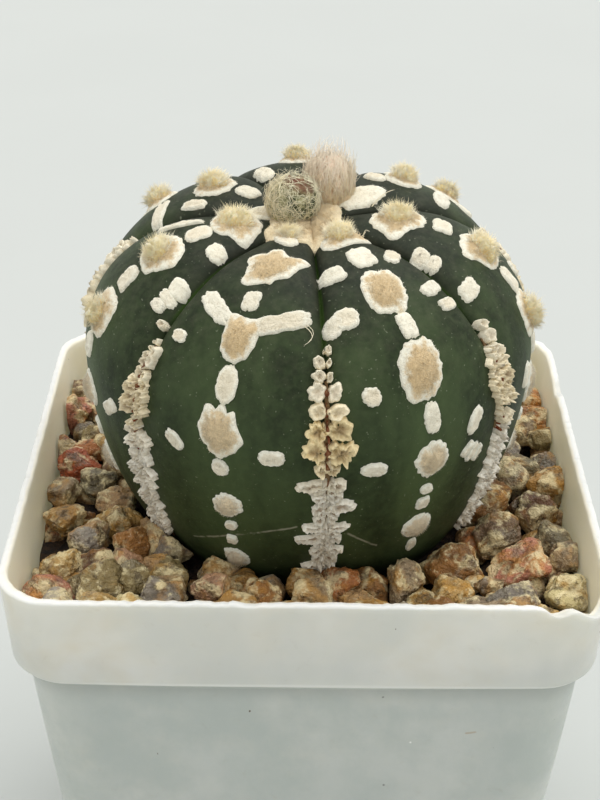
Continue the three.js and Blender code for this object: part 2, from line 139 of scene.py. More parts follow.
# Felt marks on each rib, counted round from the one left of the front towards +X. Each mark is
# (degrees off the crest, descent, half width, half length, turn); a rib's tufts stand on pads.
MARKS = [
    dict(
        pads=[(1.5, 28.5, 3.0, 3.3, 10), (0, 53, 2.2, 2.8, 0), (-0.5, 83, 2.6, 3.3, 0), (1, 102.5, 2, 2.1, 0),
            (1, 119, 1.8, 2, 0)],
        tufts=[(-6, 11, 2.2, 2, 0)],
        flecks=[
            (-2.5, 14, 1.6, 1.2, 25), (0, 41, 1.15, 1.45, 0), (-11, 45.5, 2.9, 1.2, 31),
            (11.5, 46, 3.9, 1.2, -20), (0, 67, 1.3, 2.35, 0), (0, 93.5, 1.1, 1.2, 0),
            (12.5, 89.5, 1.6, 1.1, 0), (-12.5, 90.5, 1.6, 1, 40), (-18.5, 57, 1.1, 0.8, 0),
            (1.5, 108, 0.8, 0.8, 0), (1, 112.5, 0.7, 0.8, 0),
        ],
    ),
    dict(
        pads=[(-0.9, 38.8, 2.75, 3.3, 12), (0, 64.5, 3.1, 3.85, 0), (0.6, 93.5, 2.4, 2.7, 10),
            (-0.4, 110.5, 2, 2.2, 30)],
        tufts=[(5, 13, 2.9, 2.7, 0)],
        flecks=[
            (0.6, 25, 1.7, 1.9, 0), (-19, 28.5, 1.75, 1.5, -8), (0.6, 50.8, 1.15, 1.75, 0),
            (-22.5, 45.8, 1.4, 1.5, 0), (-18, 44.3, 1.7, 1.55, 0),
            (-14.4, 69, 1.2, 1.2, 0), (0.6, 80.5, 1.2, 2.1, 0), (-14.4, 93, 1.8, 1, 8),
            (0, 100.5, 0.9, 0.8, 0), (-0.4, 104, 1, 1, 0),
            (0, 117, 0.7, 1.4, 0), (16.5, 28, 1.6, 1, -35), (18, 42.5, 2, 1, -12), (19.5, 49, 1.6, 0.9, 0),
            (14, 88.5, 1, 1.9, 30),
            (12.0, 95.0, 0.55, 1.25, 48), (14.0, 96.2, 0.6, 1.4, 44), (16.2, 97.4, 0.55, 1.2, 40),
        ],
    ),
    dict(
        pads=[(0, 97, 2.4, 2.8, 0), (0, 112, 2.1, 2.2, 0)],
        tufts=[(4, 22, 3.4, 3.4, 0), (2, 48, 3.2, 3.3, 0), (0, 74, 2.7, 3.2, 0)],
        flecks=[
            (5, 35, 1.6, 1.4, 0), (-21.8, 32.5, 1.4, 1.2, 0), (-21.3, 36.8, 1.2, 1, 0),
            (-19.3, 50, 1.7, 1.3, 0), (1.7, 61.5, 1.3, 2.1, 0),
            (0, 86, 1.1, 1.8, 0), (-9.8, 91, 0.9, 1.7, 20), (14, 66, 1.4, 1.2, 30), (0, 105, 0.9, 1, 0),
        ],
    ),
    dict(
        pads=[(0, 78, 2.5, 3, 0), (-1, 99, 2.2, 2.6, 0), (1, 115, 1.9, 2, 0)],
        tufts=[(1, 36, 2.7, 2.8, 0), (-3, 54, 2.6, 2.8, 0)],
        flecks=[
            (-4, 16.8, 2.2, 3.7, 0), (10, 29, 1.7, 1.2, 0), (-14, 43, 2.5, 1.3, 40), (-13, 55, 1.3, 1.1, 0),
            (15, 48, 1.2, 1.6, 20), (0, 66, 1.2, 1.8, 0),
            (-1, 89, 1.1, 1.4, 0), (13, 84, 1.6, 1, 0), (0, 107, 0.9, 1, 0),
        ],
    ),
    dict(
        pads=[(1, 64, 2.8, 3.1, 15), (0, 88, 2.4, 2.7, 0), (0, 107, 2, 2.2, 0)],
        tufts=[(1, 39, 2.5, 2.7, 0)],
        flecks=[
            (20, 30, 1.1, 2.3, 0), (-12, 33, 1.5, 1.1, -20), (0, 51, 1.3, 1.9, 0), (-15, 62, 1.3, 1.2, 0),
            (0, 76, 1.2, 1.7, 0),
            (14, 86, 1.7, 1, 0), (0, 98, 1, 1.1, 0),
        ],
    ),
    dict(
        pads=[(0, 76, 2.5, 2.9, 0), (0, 97, 2.2, 2.5, 0), (0, 114, 1.9, 2, 0)],
        tufts=[(0, 31, 3, 3, 0), (2, 53, 2.6, 2.8, 0)],
        flecks=[
            (-3, 20, 1.4, 1.9, 0), (17, 44.5, 3.1, 1.0, -6), (-13, 45, 1.5, 1.2, 0), (18, 32, 0.9, 1.8, 0),
            (0, 65, 1.2, 1.8, 0),
            (-14, 82, 1.2, 1.5, 20), (0, 87, 1.1, 1.4, 0), (0, 106, 0.9, 1, 0),
        ],
    ),
    dict(
        pads=[(0, 95, 2.4, 2.7, 0), (0, 112, 2, 2.2, 0)],
        tufts=[(-3, 19, 3.3, 3.3, 0), (1, 42, 3.1, 3.1, 0), (0, 68.5, 2.9, 3.3, 0)],
        flecks=[
            (-28, 11, 2.6, 2.4, 0), (1, 30, 1.5, 1.8, 0), (18.9, 29, 1.5, 1.3, 0), (0, 54.5, 1.5, 1.8, 0),
            (21.2, 44.6, 1.5, 1.25, 0), (20.4, 49, 1.5, 0.8, 10),
            (19.4, 52.4, 1.15, 0.9, 0), (-1, 82, 1.2, 1.8, 0), (13.9, 93, 1.7, 1, -40), (0, 104, 1, 1.2, 0),
            (-13.6, 34.5, 0.6, 3.4, 12),
        ],
    ),
]
# Lobes of the marks whose outline is not a plain round: (direction, spread, reach), the direction
# counted from the right towards the crown.
LOBES = {
    (0, "pads", 0): [(112, 18, 0.28), (46, 13, 0.6), (165, 22, 0.3), (-115, 18, 0.35), (80, 12, -0.12),
    (-30, 26, -0.2)],
    (0, "pads", 1): [(128, 24, 0.35), (40, 24, 0.4), (-90, 40, 0.1)],
    (0, "pads", 2): [(125, 16, 0.22), (85, 14, 0.16), (50, 14, 0.2), (-15, 16, 0.18), (105, 7, -0.14),
    (67, 7, -0.14)],
    (1, "pads", 0): [(60, 30, 0.08), (-90, 40, 0.06)],
    (2, "tufts", 0): [(180, 18, 0.5), (-70, 20, 0.12), (-110, 20, 0.14)],
    (2, "tufts", 1): [(0, 22, 0.25), (150, 20, 0.25), (-60, 18, 0.14)],
    (6, "tufts", 0): [(0, 22, 0.4), (180, 26, 0.3), (-60, 20, 0.14)],
    (6, "tufts", 1): [(170, 24, 0.25), (10, 26, 0.2), (-70, 26, 0.15)],
    (1, "tufts", 0): [(-150, 30, 0.3), (-40, 24, 0.3)],
}


def bell(x, middle, width, power=2):
    """1 at the middle, falling to both sides as exp(-|x - middle| / width, to that power)."""
    return np.exp(-(((x - middle) / width) ** power))


def pad_rise(t):
    """A pad's height: low at its margin, with a broad mound over the middle."""
    return 0.5 + 0.1 * bell(t, 0.88, 0.08) + 0.95 * bell(t, 0, 0.62, 4)


def dome_rise(t):
    """The height of a tuft's core: a dome."""
    return np.sqrt(np.maximum(1 - 0.8 * t**2, 0))


def rimmed(base, rim, at, width):
    """The height of a level mark with a rim, which stands at a share of the way out."""
    return lambda t: base + rim * bell(t, at, width)


# The forms of the marks. Each has its height, how deep its foot is sunk, the rings and spokes of its
# mesh, how square its outline is, how far that wavers and how ragged it is, the fineness of its rags
# (frill), the height of the crumbs on it and their fineness (grain), how dark its middle is on a band,
# partly its own tan and partly painted shade, and its height from the middle out (rise).
PLAIN = dict(sink=0.4, square=2.0, frill=6.0, grain=1.7, hollow_tan_and_shade=0.5)
PAD = dict(
    PLAIN, height=0.62, sink=0.45, rings=10, spokes=64, square=2.05, waver=0.14, ragged=0.09, crumbs=0.2,
    rise=pad_rise,
)
FLECK = dict(
    PLAIN, height=0.42, sink=0.3, rings=6, spokes=40, square=2.8, waver=0.15, ragged=0.1, crumbs=0.35,
    rise=rimmed(0.9, 0.1, 0.74, 0.12),
)
BAR = dict(FLECK, square=5.0, waver=0.1, ragged=0.14, spokes=56)
# The flecks that are bars: the arms of the forked pad, and two on the left.
BARS = {(0, "flecks", 2), (0, "flecks", 3), (5, "flecks", 1), (6, "flecks", 10)}
DOME = dict(PLAIN, height=1.75, sink=0.3, rings=16, spokes=64, waver=0.22, ragged=0.12, crumbs=0.34, rise=dome_rise)
DOME_SHARE = 0.66  # a tuft's size as a share of its pad's
LOW_DOME = (12, 0.6)  # tufts above this descent are lower, by this factor
WOOL = dict(PLAIN, height=1.0, sink=0.5, rings=18, spokes=110, waver=0.12, ragged=0.06, crumbs=0.3, rise=dome_rise)
WOOL_PLACE = (10.0, 2.0, 5.2, 5.2, 0)  # the place and lobes of the wool at the crown
WOOL_LOBES = [(35, 20, 0.3), (200, 20, 0.25), (-90, 14, 0.14), (150, 16, 0.15)]
SHELL = dict(
    PLAIN, height=0.95, rings=7, spokes=40, waver=0.28, ragged=0.16, frill=3.0, crumbs=0.34, grain=2.2,
    rise=rimmed(0.72, 0.36, 0.7, 0.16),
)
RUFFLE = dict(
    PLAIN, height=1.05, rings=8, spokes=56, waver=0.3, ragged=0.4, frill=3.6, crumbs=0.62, grain=2.5, hollow_tan_and_shade=0.9,
    rise=rimmed(0.5, 0.62, 0.78, 0.16),
)
PETAL = dict(
    RUFFLE, height=0.85, rings=6, spokes=36, waver=0.26, ragged=0.3, frill=3.4, crumbs=0.5, grain=2.8, hollow_tan_and_shade=1.0
)
CRUMB = dict(PLAIN, height=1.1, rings=4, spokes=14, waver=0.45, ragged=0.3, crumbs=0.6, rise=dome_rise)
SEAM = dict(PLAIN, height=1.15, rings=2, spokes=8, waver=0.2, ragged=0.1, crumbs=0.3, rise=dome_rise)

# The corky bands: descent of the top row of each groove from the front round, and of the last row.
BAND_STARTS = [56, 58, 54, 52, 55, 52, 56]
BAND_END = 124.0
BAND_HALF_WIDTH = [(50, 1.1), (58, 1.7), (70, 2.2), (80, 2.6), (95, 2.8), (110, 2.9), (124, 2.2)]
# The rows of the bands that face the front, by groove: descent, reach to the left and to the right, and
# half length. An ear whose reach is under 0.25 is left out.
SEEN_ROWS = {}
SEEN_ROWS[0] = [
    (52.5, 0.3, 0.95, 0.7), (57, 1.6, 0.8, 0.95), (61, 1.55, 0.85, 0.8), (66, 2.1, 2.0, 1.3),
    (72.5, 2.35, 2.4, 1.1),
    (79.3, 2.35, 3.1, 1.4), (87, 2.8, 3.1, 1.5), (92, 1.5, 1.4, 0.8), (95.5, 3.7, 2.3, 0.85),
    (98.5, 1.9, 1.8, 0.75),
    (101.3, 1.9, 3.35, 0.9), (104.2, 1.6, 1.5, 0.6), (106.5, 2.8, 2.9, 0.6), (109.5, 3.6, 2.1, 0.8),
    (113, 1.8, 2.4, 0.65),
    (116.3, 1.5, 1.6, 0.7), (119, 2.8, 1.6, 0.6), (122, 2.4, 1.1, 0.6),
]
SEEN_ROWS[1] = [
    (59.3, 0, 1.3, 0.85), (64.3, 0, 1.9, 1.05), (68, 0.4, 1.0, 0.5), (70.8, 1.1, 1.9, 0.75),
    (74, 1.9, 2.1, 0.8),
    (77.3, 2.3, 2.0, 0.85), (80.6, 2.5, 2.2, 0.85), (83.9, 1.8, 2.1, 0.8), (87, 1.2, 2.3, 0.75),
    (90, 0.8, 2.5, 0.75),
    (93, 0.4, 2.6, 0.7), (95.6, 0.2, 2.7, 0.6), (98, 1.4, 2.3, 0.55), (100.4, 1.9, 2.4, 0.6),
    (102.8, 2.2, 2.6, 0.6),
    (105.2, 2.1, 2.5, 0.6), (107.6, 2.0, 2.6, 0.6), (110, 1.8, 2.4, 0.6), (112.4, 2.0, 2.2, 0.6),
    (114.8, 1.6, 2.0, 0.55),
    (117.2, 1.7, 1.8, 0.55), (119.6, 1.4, 1.6, 0.5), (121.8, 1.2, 1.4, 0.5),
]
SEEN_ROWS[6] = [
    (56.8, 0.9, 0.3, 0.6), (61.5, 0.3, 0.7, 0.6), (64.3, 0.5, 1.6, 0.8), (67.2, 0.8, 1.6, 0.75),
    (70.5, 0.9, 0.3, 0.65),
    (73.8, 1.1, 1.3, 0.8), (77.3, 1.6, 1.5, 0.9), (80.8, 2.1, 2.0, 0.95), (84.4, 2.2, 2.1, 0.95),
    (87.8, 2.3, 1.2, 0.8),
    (90.9, 0.9, 0.9, 0.5), (93.6, 1.9, 2.4, 0.75), (96.6, 1.8, 2.3, 0.7), (99.4, 2.0, 2.3, 0.7),
    (102.2, 2.2, 2.4, 0.7),
    (105, 2.3, 2.2, 0.7), (107.8, 2.2, 2.1, 0.65), (110.4, 2.0, 2.2, 0.6), (113, 2.1, 1.8, 0.6),
    (115.5, 1.7, 1.9, 0.6),
    (118, 1.9, 1.6, 0.55), (120.4, 1.5, 1.6, 0.5),
]
RUFFLE_FROM = 75.0  # descents from which the ears of a band are ruffled, and then narrow
PETAL_FROM = 93.5
RUFFLE_MIDDLE = 83.0
RUST_SPAN = (64.0, 97.0)
LEAST_EAR = 0.25

# Each bud: its middle, from the plant's middle, radius, stretch, and numbers of scales and hairs.
BUDS = {
    "bud_front": dict(at=(-2.2, 0.6, 19.1), radius=3.6, stretch=(0.97, 0.97, 0.98), scales=30, hairs=1700),
    "bud_back": dict(at=(2.4, 6.4, 18.1), radius=3.9, stretch=(0.88, 0.92, 1.22), scales=34, hairs=2600),
}
BUD_SCALE_DEPTH = 0.11
# Directions from the front bud's middle to its warm cap, and to where its scales show between hairs.
BUD_CAP = (0.26, 0.0, 0.96)
BUD_BARE = (0.5, -0.77, 0.39)

# The pale line scratched round the body's lower front, as (bearing, descent) of its turns.
SCARS = [
    [(-33, 116.5), (-27, 114.2), (-21.5, 112), (-16, 110), (-9, 108), (-2.5, 106.5)],
    [(10, 108.5), (14, 111), (19, 114)],
]
SCAR_HALF_WIDTH = 0.26

# Stray hairs across the skin, each three (bearing, descent).
STRAY_HAIRS = [
    [(-1, 46), (1.2, 49), (-2, 52.5)],
    [(112.5, 17), (118.5, 21.5), (123.5, 26.5)],
    [(58.5, 15.5), (61, 16), (63.5, 17)],
]
STRAY_COPIES = 2

# The stones that show in front, each (x, y, width, tone), before the rest are set round them.
LARGE_STONES = [
    (-35, 22, 5.4, "salmon"), (-31, 16, 5, "olive"), (-35, 11.5, 4.4, "dark_red"),
    (-32.5, 7, 5.4, "red_orange"),
    (-29, 2.8, 4.4, "grey_olive"), (-26, -1.5, 4.6, "tan"), (-32.5, -6.5, 5, "ochre"),
    (-28.5, -11.5, 4.6, "pale_grey"),
    (-23, -14, 4.8, "brown_ochre"), (-31.5, -18.8, 5.2, "tan_yellow"), (-26.5, -23.2, 7, "olive"),
    (-17.5, -25.8, 6, "grey"),
    (-11.5, -24.2, 4.6, "peach"), (-5.4, -26.3, 5.6, "brown_ochre"), (1.2, -26.5, 5.6, "tan_grey"),
    (6.8, -26.2, 4.8, "tan"),
    (12.6, -21.5, 5.6, "tan_grey"), (19.5, -17.3, 7.2, "brown_ochre"), (19, -24.4, 6, "tan_yellow"),
    (14.6, -27.2, 4, "olive"),
    (23.6, -23, 3.2, "grey"), (28.4, -17.3, 7.6, "salmon"), (26.4, -27.6, 6.8, "grey"),
    (33.2, -24, 6.6, "cream"),
    (25.2, -9.2, 6.4, "grey_brown"), (30.5, -5, 5.8, "dark_brown"), (34, 1.6, 6.6, "ochre"),
    (34.6, 8.8, 5, "grey"),
    (34, 21.5, 5.8, "orange_brown"), (34, 28, 5.2, "orange"),
]

# The tones of the stones, from 0 to 255 as a picture has them, and how common each is among the stones
# that are not named.
TONES = {
    "tan": (180, 144, 98, 6), "ochre": (178, 134, 70, 5), "tan_yellow": (196, 158, 92, 5),
    "brown_ochre": (150, 104, 52, 6), "tan_grey": (164, 142, 110, 6), "grey": (136, 126, 112, 4),
    "pale_grey": (168, 158, 144, 3), "olive": (140, 122, 78, 3), "grey_olive": (128, 118, 90, 3),
    "peach": (206, 160, 124, 2), "grey_brown": (130, 104, 76, 3), "dark_brown": (98, 64, 36, 2),
    "orange_brown": (176, 110, 56, 3), "salmon": (196, 128, 100, 1), "cream": (208, 192, 138, 2),
    "dark_red": (120, 56, 34, 0), "red_orange": (170, 84, 44, 0), "orange": (200, 128, 66, 0),
}
COMMON_TONES = [name for name, tone in TONES.items() for _ in range(tone[3])]

# Primes that scatter the corners of a lattice, and the masks that bring them into range.
CORNER_PRIMES = (73856093, 19349663, 83492791)
SEED_STEP = 2654435
MIXERS = ((13, 1274126177), (15, 668265263))


# Numbers

def linear(red, green, blue):
    """A colour given as a picture has it, from 0 to 255, in the linear values that shaders take."""
    shares = np.array([red, green, blue]) / 255
    return np.where(shares <= 10 / 255, shares / 12.92, ((shares + 0.055) / 1.055) ** 2.4)


def read(pairs, x):
    """The value at x of a list of (x, value) pairs, with straight lines between them."""
    return np.interp(x, *zip(*pairs))


def rise_over(x, start, end):
    """0 up to the start, 1 from the end on, and a straight line between."""
    return np.clip((x - start) / (end - start), 0, 1)


def stacked(*parts):
    """Arrays or numbers that fit each other, side by side along a new last axis."""
    return np.stack(np.broadcast_arrays(*parts), -1)


def round_turn(count):
    """That many directions round a circle, in radians."""
    return np.arange(count) * 2 * np.pi / count


def unit(vectors):
    """Vectors brought to length one."""
    return vectors / np.maximum(np.linalg.norm(vectors, axis=-1, keepdims=True), 1e-12)


def park_draws(seed):
    """A repeatable stream of numbers from 0 to 1: each state is the last times 16807, modulo 2147483647."""
    state = seed
    while True:
        state = state * 16807 % 2147483647
        yield state / 2147483647


def lattice_noise(points, seed=0):
    """Smooth noise from -1 to 1: a random value on each corner of a unit lattice, blended across its
    cells by 3t² - 2t³ along each axis."""
    cell = np.floor(points).astype(np.int64)
    t = points - cell
    t = t * t * (3 - 2 * t)
    total = np.zeros(points.shape[:-1])
    for corner in itertools.product((0, 1), repeat=3):
        scattered = (cell + corner) * CORNER_PRIMES
        mixed = np.bitwise_xor.reduce(scattered, axis=-1) ^ (seed * SEED_STEP)
        for shift, prime in MIXERS:
            mixed = (mixed ^ (mixed >> shift)) * prime & 0x7FFFFFFF
        share = np.prod(np.where(corner, t, 1 - t), axis=-1)
        total += share * ((mixed >> 8 & 0xFFFF) / 32767.5 - 1)
    return total


def layered_noise(points, octaves, seed=0):
    """Lattice noise with finer layers laid on, each half the size and half the height of the last."""
    return sum(lattice_noise(points * 2**k, seed + k) / 2**k for k in range(octaves))


def noise_ways(points, apart, seed):
    """Three lattice noises as one vector, each read that far from the last."""
    return np.stack([lattice_noise(points + k * apart, seed + k) for k in range(3)], -1)


# Meshes

Surface = namedtuple("Surface", "points quads tris layers")
# A mark on the skin: its place (bearing, descent, half width, half length, turn), kind, seed, tint,
# how tan its middle is, and its lobes.
Mark = namedtuple("Mark", "place kind seed tint age lobes")


def closed_surface(grid, first, second, **layers):
    """A surface of a grid of points that closes round its columns and ends in two poles, the rows running
    from the first pole to the second. A layer holds a value for each grid point, and then one for each
    pole."""
    rows, columns = grid.shape[:2]
    j = np.arange(columns)
    after = (j + 1) % columns
    across = np.arange(rows - 1)[:, None] * columns
    quads = stacked(across + j, across + j + columns, across + after + columns, across + after).reshape(-1, 4)
    size, last = rows * columns, (rows - 1) * columns
    tris = np.concatenate([stacked(size, j, after), stacked(size + 1, last + after, last + j)])
    return Surface(np.concatenate([grid.reshape(-1, 3), [first, second]]), quads, tris, layers)


def ring_surface(grid):
    """A surface of a grid of points that closes round both ways, as a ring does."""
    rows, columns = grid.shape[:2]
    i, j = np.arange(rows)[:, None], np.arange(columns)
    here, down, after = i * columns, (i + 1) % rows * columns, (j + 1) % columns
    quads = stacked(here + j, down + j, down + after, here + after).reshape(-1, 4)
    return Surface(grid.reshape(-1, 3), quads, np.zeros((0, 3), int), {})


def ball_surface(points, faces, layers):
    """A surface of triangles alone."""
    return Surface(points, np.zeros((0, 4), int), faces, layers)


def join(surfaces):
    """Several surfaces as one, each layer carried over."""
    starts = np.cumsum([0] + [len(s.points) for s in surfaces[:-1]])
    return Surface(
        np.concatenate([s.points for s in surfaces]),
        np.concatenate([s.quads + start for s, start in zip(surfaces, starts)]),
        np.concatenate([s.tris + start for s, start in zip(surfaces, starts)]),
        {name: np.concatenate([s.layers[name] for s in surfaces]) for name in surfaces[0].layers},
    )


def add_piece(name, surface, material, replaced=()):
    """An object of that surface, which rides on the row's only body and takes its finish from a slot. Its
    layers become attributes, but for one named facing, which sets the direction each point is shaded by,
    so that hairs are lit as the ground they stand on."""
    points, quads, tris, layers = surface
    mesh = bpy.data.meshes.new(name)
    loops = np.concatenate([quads.ravel(), tris.ravel()]).astype(np.int32)
    totals = np.concatenate([np.full(len(quads), 4), np.full(len(tris), 3)])
    starts = np.concatenate([[0], np.cumsum(totals)[:-1]]).astype(np.int32)
    mesh.vertices.add(len(points))
    mesh.vertices.foreach_set("co", (points * MM).astype(np.float32).ravel())
    mesh.loops.add(len(loops))
    mesh.loops.foreach_set("vertex_index", loops)
    mesh.polygons.add(len(starts))
    mesh.polygons.foreach_set("loop_start", starts)
    mesh.polygons.foreach_set("use_smooth", np.ones(len(starts), bool))
    for layer, values in layers.items():
        values = np.asarray(values, np.float32)
        if layer == "tint":
            solid = np.concatenate([values, np.ones((len(values), 1), np.float32)], axis=1)
            mesh.attributes.new(layer, "FLOAT_COLOR", "POINT").data.foreach_set("color", solid.ravel())
        elif layer != "facing":
            mesh.attributes.new(layer, "FLOAT", "POINT").data.foreach_set("value", values)
    mesh.update(calc_edges=True)
    mesh.validate()
    if "facing" in layers:
        mesh.normals_split_custom_set_from_vertices(unit(layers["facing"]).tolist())
    mesh.materials.append(material)
    piece = bpy.data.objects.new(name, mesh)
    bpy.context.scene.collection.objects.link(piece)
    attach(piece, "root")
    if replaced:
        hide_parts(*replaced)
    return piece


# The plant's skin

def profile(descent):
    """Radius and level of the smooth body: radius R sin a, and level crown rise x cos a above the widest
    ring and base drop x cos a below it, with a dimple of depth exp(-(r / dimple radius)²) at the crown."""
    a = np.radians(descent)
    r = PLANT["radius"] * np.sin(a)
    dent = bell(r, 0, PLANT["dimple_radius"]) - bell(PLANT["radius"], 0, PLANT["dimple_radius"])
    above = PLANT["crown_rise"] * np.cos(a) - PLANT["dimple_depth"] * dent
    return r, np.where(descent > 90, PLANT["base_drop"] * np.cos(a), above)


def from_groove(bearing):
    """How far a bearing lies from the nearest groove: 0 in the groove, 1 on the crest of a rib."""
    turns = (bearing - PLANT["first_groove"]) / RIB
    return np.abs(turns - np.round(turns)) * 2


def groove_depth(bearing, descent):
    """Depth of the skin under the smooth body: a lobe, (1 - g)², and a sharp crease, exp(-g / width)."""
    g = from_groove(bearing)
    lobe = (1 - PLANT["crease_share"]) * (1 - g) ** 2
    crease = PLANT["crease_share"] * np.exp(-g / PLANT["crease_width"])
    return read(GROOVE_DEPTH, descent) * (lobe + crease)


def skin(bearing, descent, lift=0.0):
    """The point of the skin at a bearing and descent, raised by lift along the smooth body's normal."""
    r, z = profile(descent)
    r0, z0 = profile(np.maximum(descent - 0.5, 0))
    r1, z1 = profile(descent + 0.5)
    length = np.hypot(r1 - r0, z1 - z0)
    out = lift - groove_depth(bearing, descent)
    radius = np.maximum(r + (z0 - z1) / length * out, 0)
    level = z + (r1 - r0) / length * out
    b = np.radians(bearing)
    return stacked(radius * np.sin(b), -radius * np.cos(b), level)


def angles_at(points):
    """The bearing and descent of the skin nearest to each point."""
    x, y, z = np.moveaxis(points, -1, 0)
    r = np.hypot(x, y)
    dent = PLANT["dimple_depth"] * bell(r, 0, PLANT["dimple_radius"])
    rise = np.where(z > 0, (z + dent) / PLANT["crown_rise"], z / PLANT["base_drop"])
    return np.degrees(np.arctan2(x, -y)), np.degrees(np.arctan2(r / PLANT["radius"], rise))


def leaning(points):
    """Points of the plant put where it stands, leaning towards the front."""
    x, y, z = np.moveaxis(points, -1, 0)
    return stacked(
        x + PLANT["x"], y * LEAN_COS - z * LEAN_SIN + PLANT["y"], y * LEAN_SIN + z * LEAN_COS + PLANT["z"]
    )


def leaning_ways(vectors):
    """Directions of the plant turned as it leans."""
    return leaning(vectors) - leaning(np.zeros(3))


def directions_at(bearing, descent):
    """Across, down and outward directions of the skin at one place."""
    across = unit(skin(bearing + 0.5, descent) - skin(bearing - 0.5, descent))
    down = unit(skin(bearing, descent + 0.5) - skin(bearing, descent - 0.5))
    return across, down, unit(np.cross(down, across))


def outline_reach(turns, kind, lobes, seed):
    """Reach of a mark's edge in each direction, 1 on the whole: a rounded square of the exponent n,
    (|cos|ⁿ + |sin|ⁿ) to the power -1/n, two sizes of periodic noise, and its lobes, each a bell of the
    angle from the lobe's direction."""
    n = kind["square"]
    circle = stacked(np.cos(turns), np.sin(turns), seed * 3.7)
    reach = (np.abs(np.cos(turns)) ** n + np.abs(np.sin(turns)) ** n) ** (-1 / n)
    waver = kind["waver"] * lattice_noise(circle * 1.5, seed)
    reach = reach * (1 + waver + kind["ragged"] * lattice_noise(circle * kind["frill"], seed + 1))
    for direction, spread, gain in lobes:
        apart = (np.degrees(turns) - direction + 180) % 360 - 180
        reach = reach + gain * bell(apart, 0, spread)
    return reach


def on_mark(mark, share, turns):
    """Bearing and descent of points of a mark, each a share of the way from its middle to its edge."""
    bearing, descent, half_width, half_length, turn = mark.place
    across, down, _ = directions_at(bearing, descent)
    reach = share * outline_reach(turns, mark.kind, mark.lobes, mark.seed)
    u, w = half_width * reach * np.cos(turns), -half_length * reach * np.sin(turns)
    a = math.radians(turn)
    sideways, downwards = u * math.cos(a) - w * math.sin(a), u * math.sin(a) + w * math.cos(a)
    return angles_at(skin(bearing, descent) + sideways[..., None] * across + downwards[..., None] * down)


def mark_lift(mark, share):
    """Height of a mark at a share of the way out: height x rise(share), falling to a rounded edge as
    (1 - share⁸) to the power 0.6."""
    share = np.asarray(share, float)
    return mark.kind["height"] * (1 - share**8) ** 0.6 * mark.kind["rise"](share)


def button(mark):
    """A mark as a closed button on the skin. Its grid runs out from the middle in rings of spokes, at the
    mark's lift with crumbs of noise; the last ring goes down under the skin and closes there."""
    kind, seed = mark.kind, mark.seed
    share = np.concatenate([np.linspace(0, 1, kind["rings"] + 1)[1:] ** 0.8, [0.99]])
    t, phi = np.meshgrid(share, round_turn(kind["spokes"]), indexing="ij")
    angles = on_mark(mark, t, phi)
    crumbs = kind["crumbs"] * layered_noise(skin(*angles) * kind["grain"] + seed, 2, seed)
    lift = mark_lift(mark, t) + kind["height"] * crumbs * (1 - 0.7 * t**4)
    lift[-1] = -kind["sink"]
    ends = [skin(*mark.place[:2], end) for end in (mark_lift(mark, 0.0), -kind["sink"])]
    layers = dict(core=1 - np.append(t.ravel(), [0, 1]), **one_tone(t.size + 2, mark.age, mark.tint))
    return closed_surface(leaning(skin(*angles, lift)), *map(leaning, ends), **layers)


def one_tone(count, age, tint):
    """The layers of a mark whose age and tint are the same all over."""
    return dict(age=np.full(count, age), tint=np.tile(tint, (count, 1)))


def strands(paths, widths, **layers):
    """Hairs along paths of points: a three-sided section round each point but the last narrows from the
    width given for each hair to a point at the tip. A layer holds a value for each hair."""
    count, steps = paths.shape[:2]
    along = unit(np.gradient(paths, axis=1))
    side = unit(np.cross(along, unit(np.random.default_rng(5).normal(size=(count, 1, 3)))))
    over = np.cross(along, side)
    shares = np.arange(steps - 1) / (steps - 1)
    width = (widths[:, None] * (1 - 0.55 * shares))[..., None, None] / 2
    corners = round_turn(3)[:, None]
    circle = np.cos(corners) * side[:, :-1, None] + np.sin(corners) * over[:, :-1, None]
    rings = paths[:, :-1, None] + circle * width
    points = np.concatenate([rings.reshape(count, -1, 3), paths[:, -1:]], axis=1)
    each = points.shape[1]
    k, c = np.meshgrid(np.arange(steps - 2), np.arange(3), indexing="ij")
    here, after = k * 3 + c, k * 3 + (c + 1) % 3
    quads = stacked(here, after, after + 3, here + 3).reshape(-1, 4)
    last = (steps - 2) * 3
    tris = np.array([[last + i, last + (i + 1) % 3, each - 1] for i in range(3)] + [[0, 2, 1]])
    starts = np.arange(count)[:, None, None] * each
    spread = {name: np.repeat(values, each, axis=0) for name, values in layers.items()}
    along_hair = np.tile(np.append(np.repeat(shares, 3), 1.0), count)
    return Surface(
        points.reshape(-1, 3),
        (quads[None] + starts).reshape(-1, 4),
        (tris[None] + starts).reshape(-1, 3),
        dict(along=along_hair, **spread),
    )


# Tones of the felt near the crown and at the base, and of its nap.
FELT_HIGH, FELT_LOW = linear(253, 249, 229), linear(242, 243, 230)
FADE = (70, 120)  # descents over which the felt goes from the one to the other
NAP_TAN, NAP_GREY = linear(226, 196, 142), linear(208, 192, 164)
NAP_FADE = (70, 110)
WOOL_TONE, STRAY_TONE = linear(250, 232, 192), linear(214, 206, 178)
# Tones of a tuft's core, and of its hairs: tan in the dome's middle, pale towards its edge and, as painted light,
# on its upper side.
TUFT_TONE, TUFT_TAN_AND_SHADED, TUFT_PALE_AND_LIT = linear(255, 240, 198), linear(255, 234, 170), linear(255, 250, 226)
# Tones of the corky bands: at the top, where they are ruffled, at the base, their seams, and the ribbon, dark as
# painted shade between the ears.
BAND_CREAM, BAND_TAN, BAND_GREY = linear(250, 242, 218), linear(244, 224, 174), linear(250, 246, 232)
BAND_RUST, RIBBON_SHADE = linear(112, 50, 28), linear(112, 92, 66)
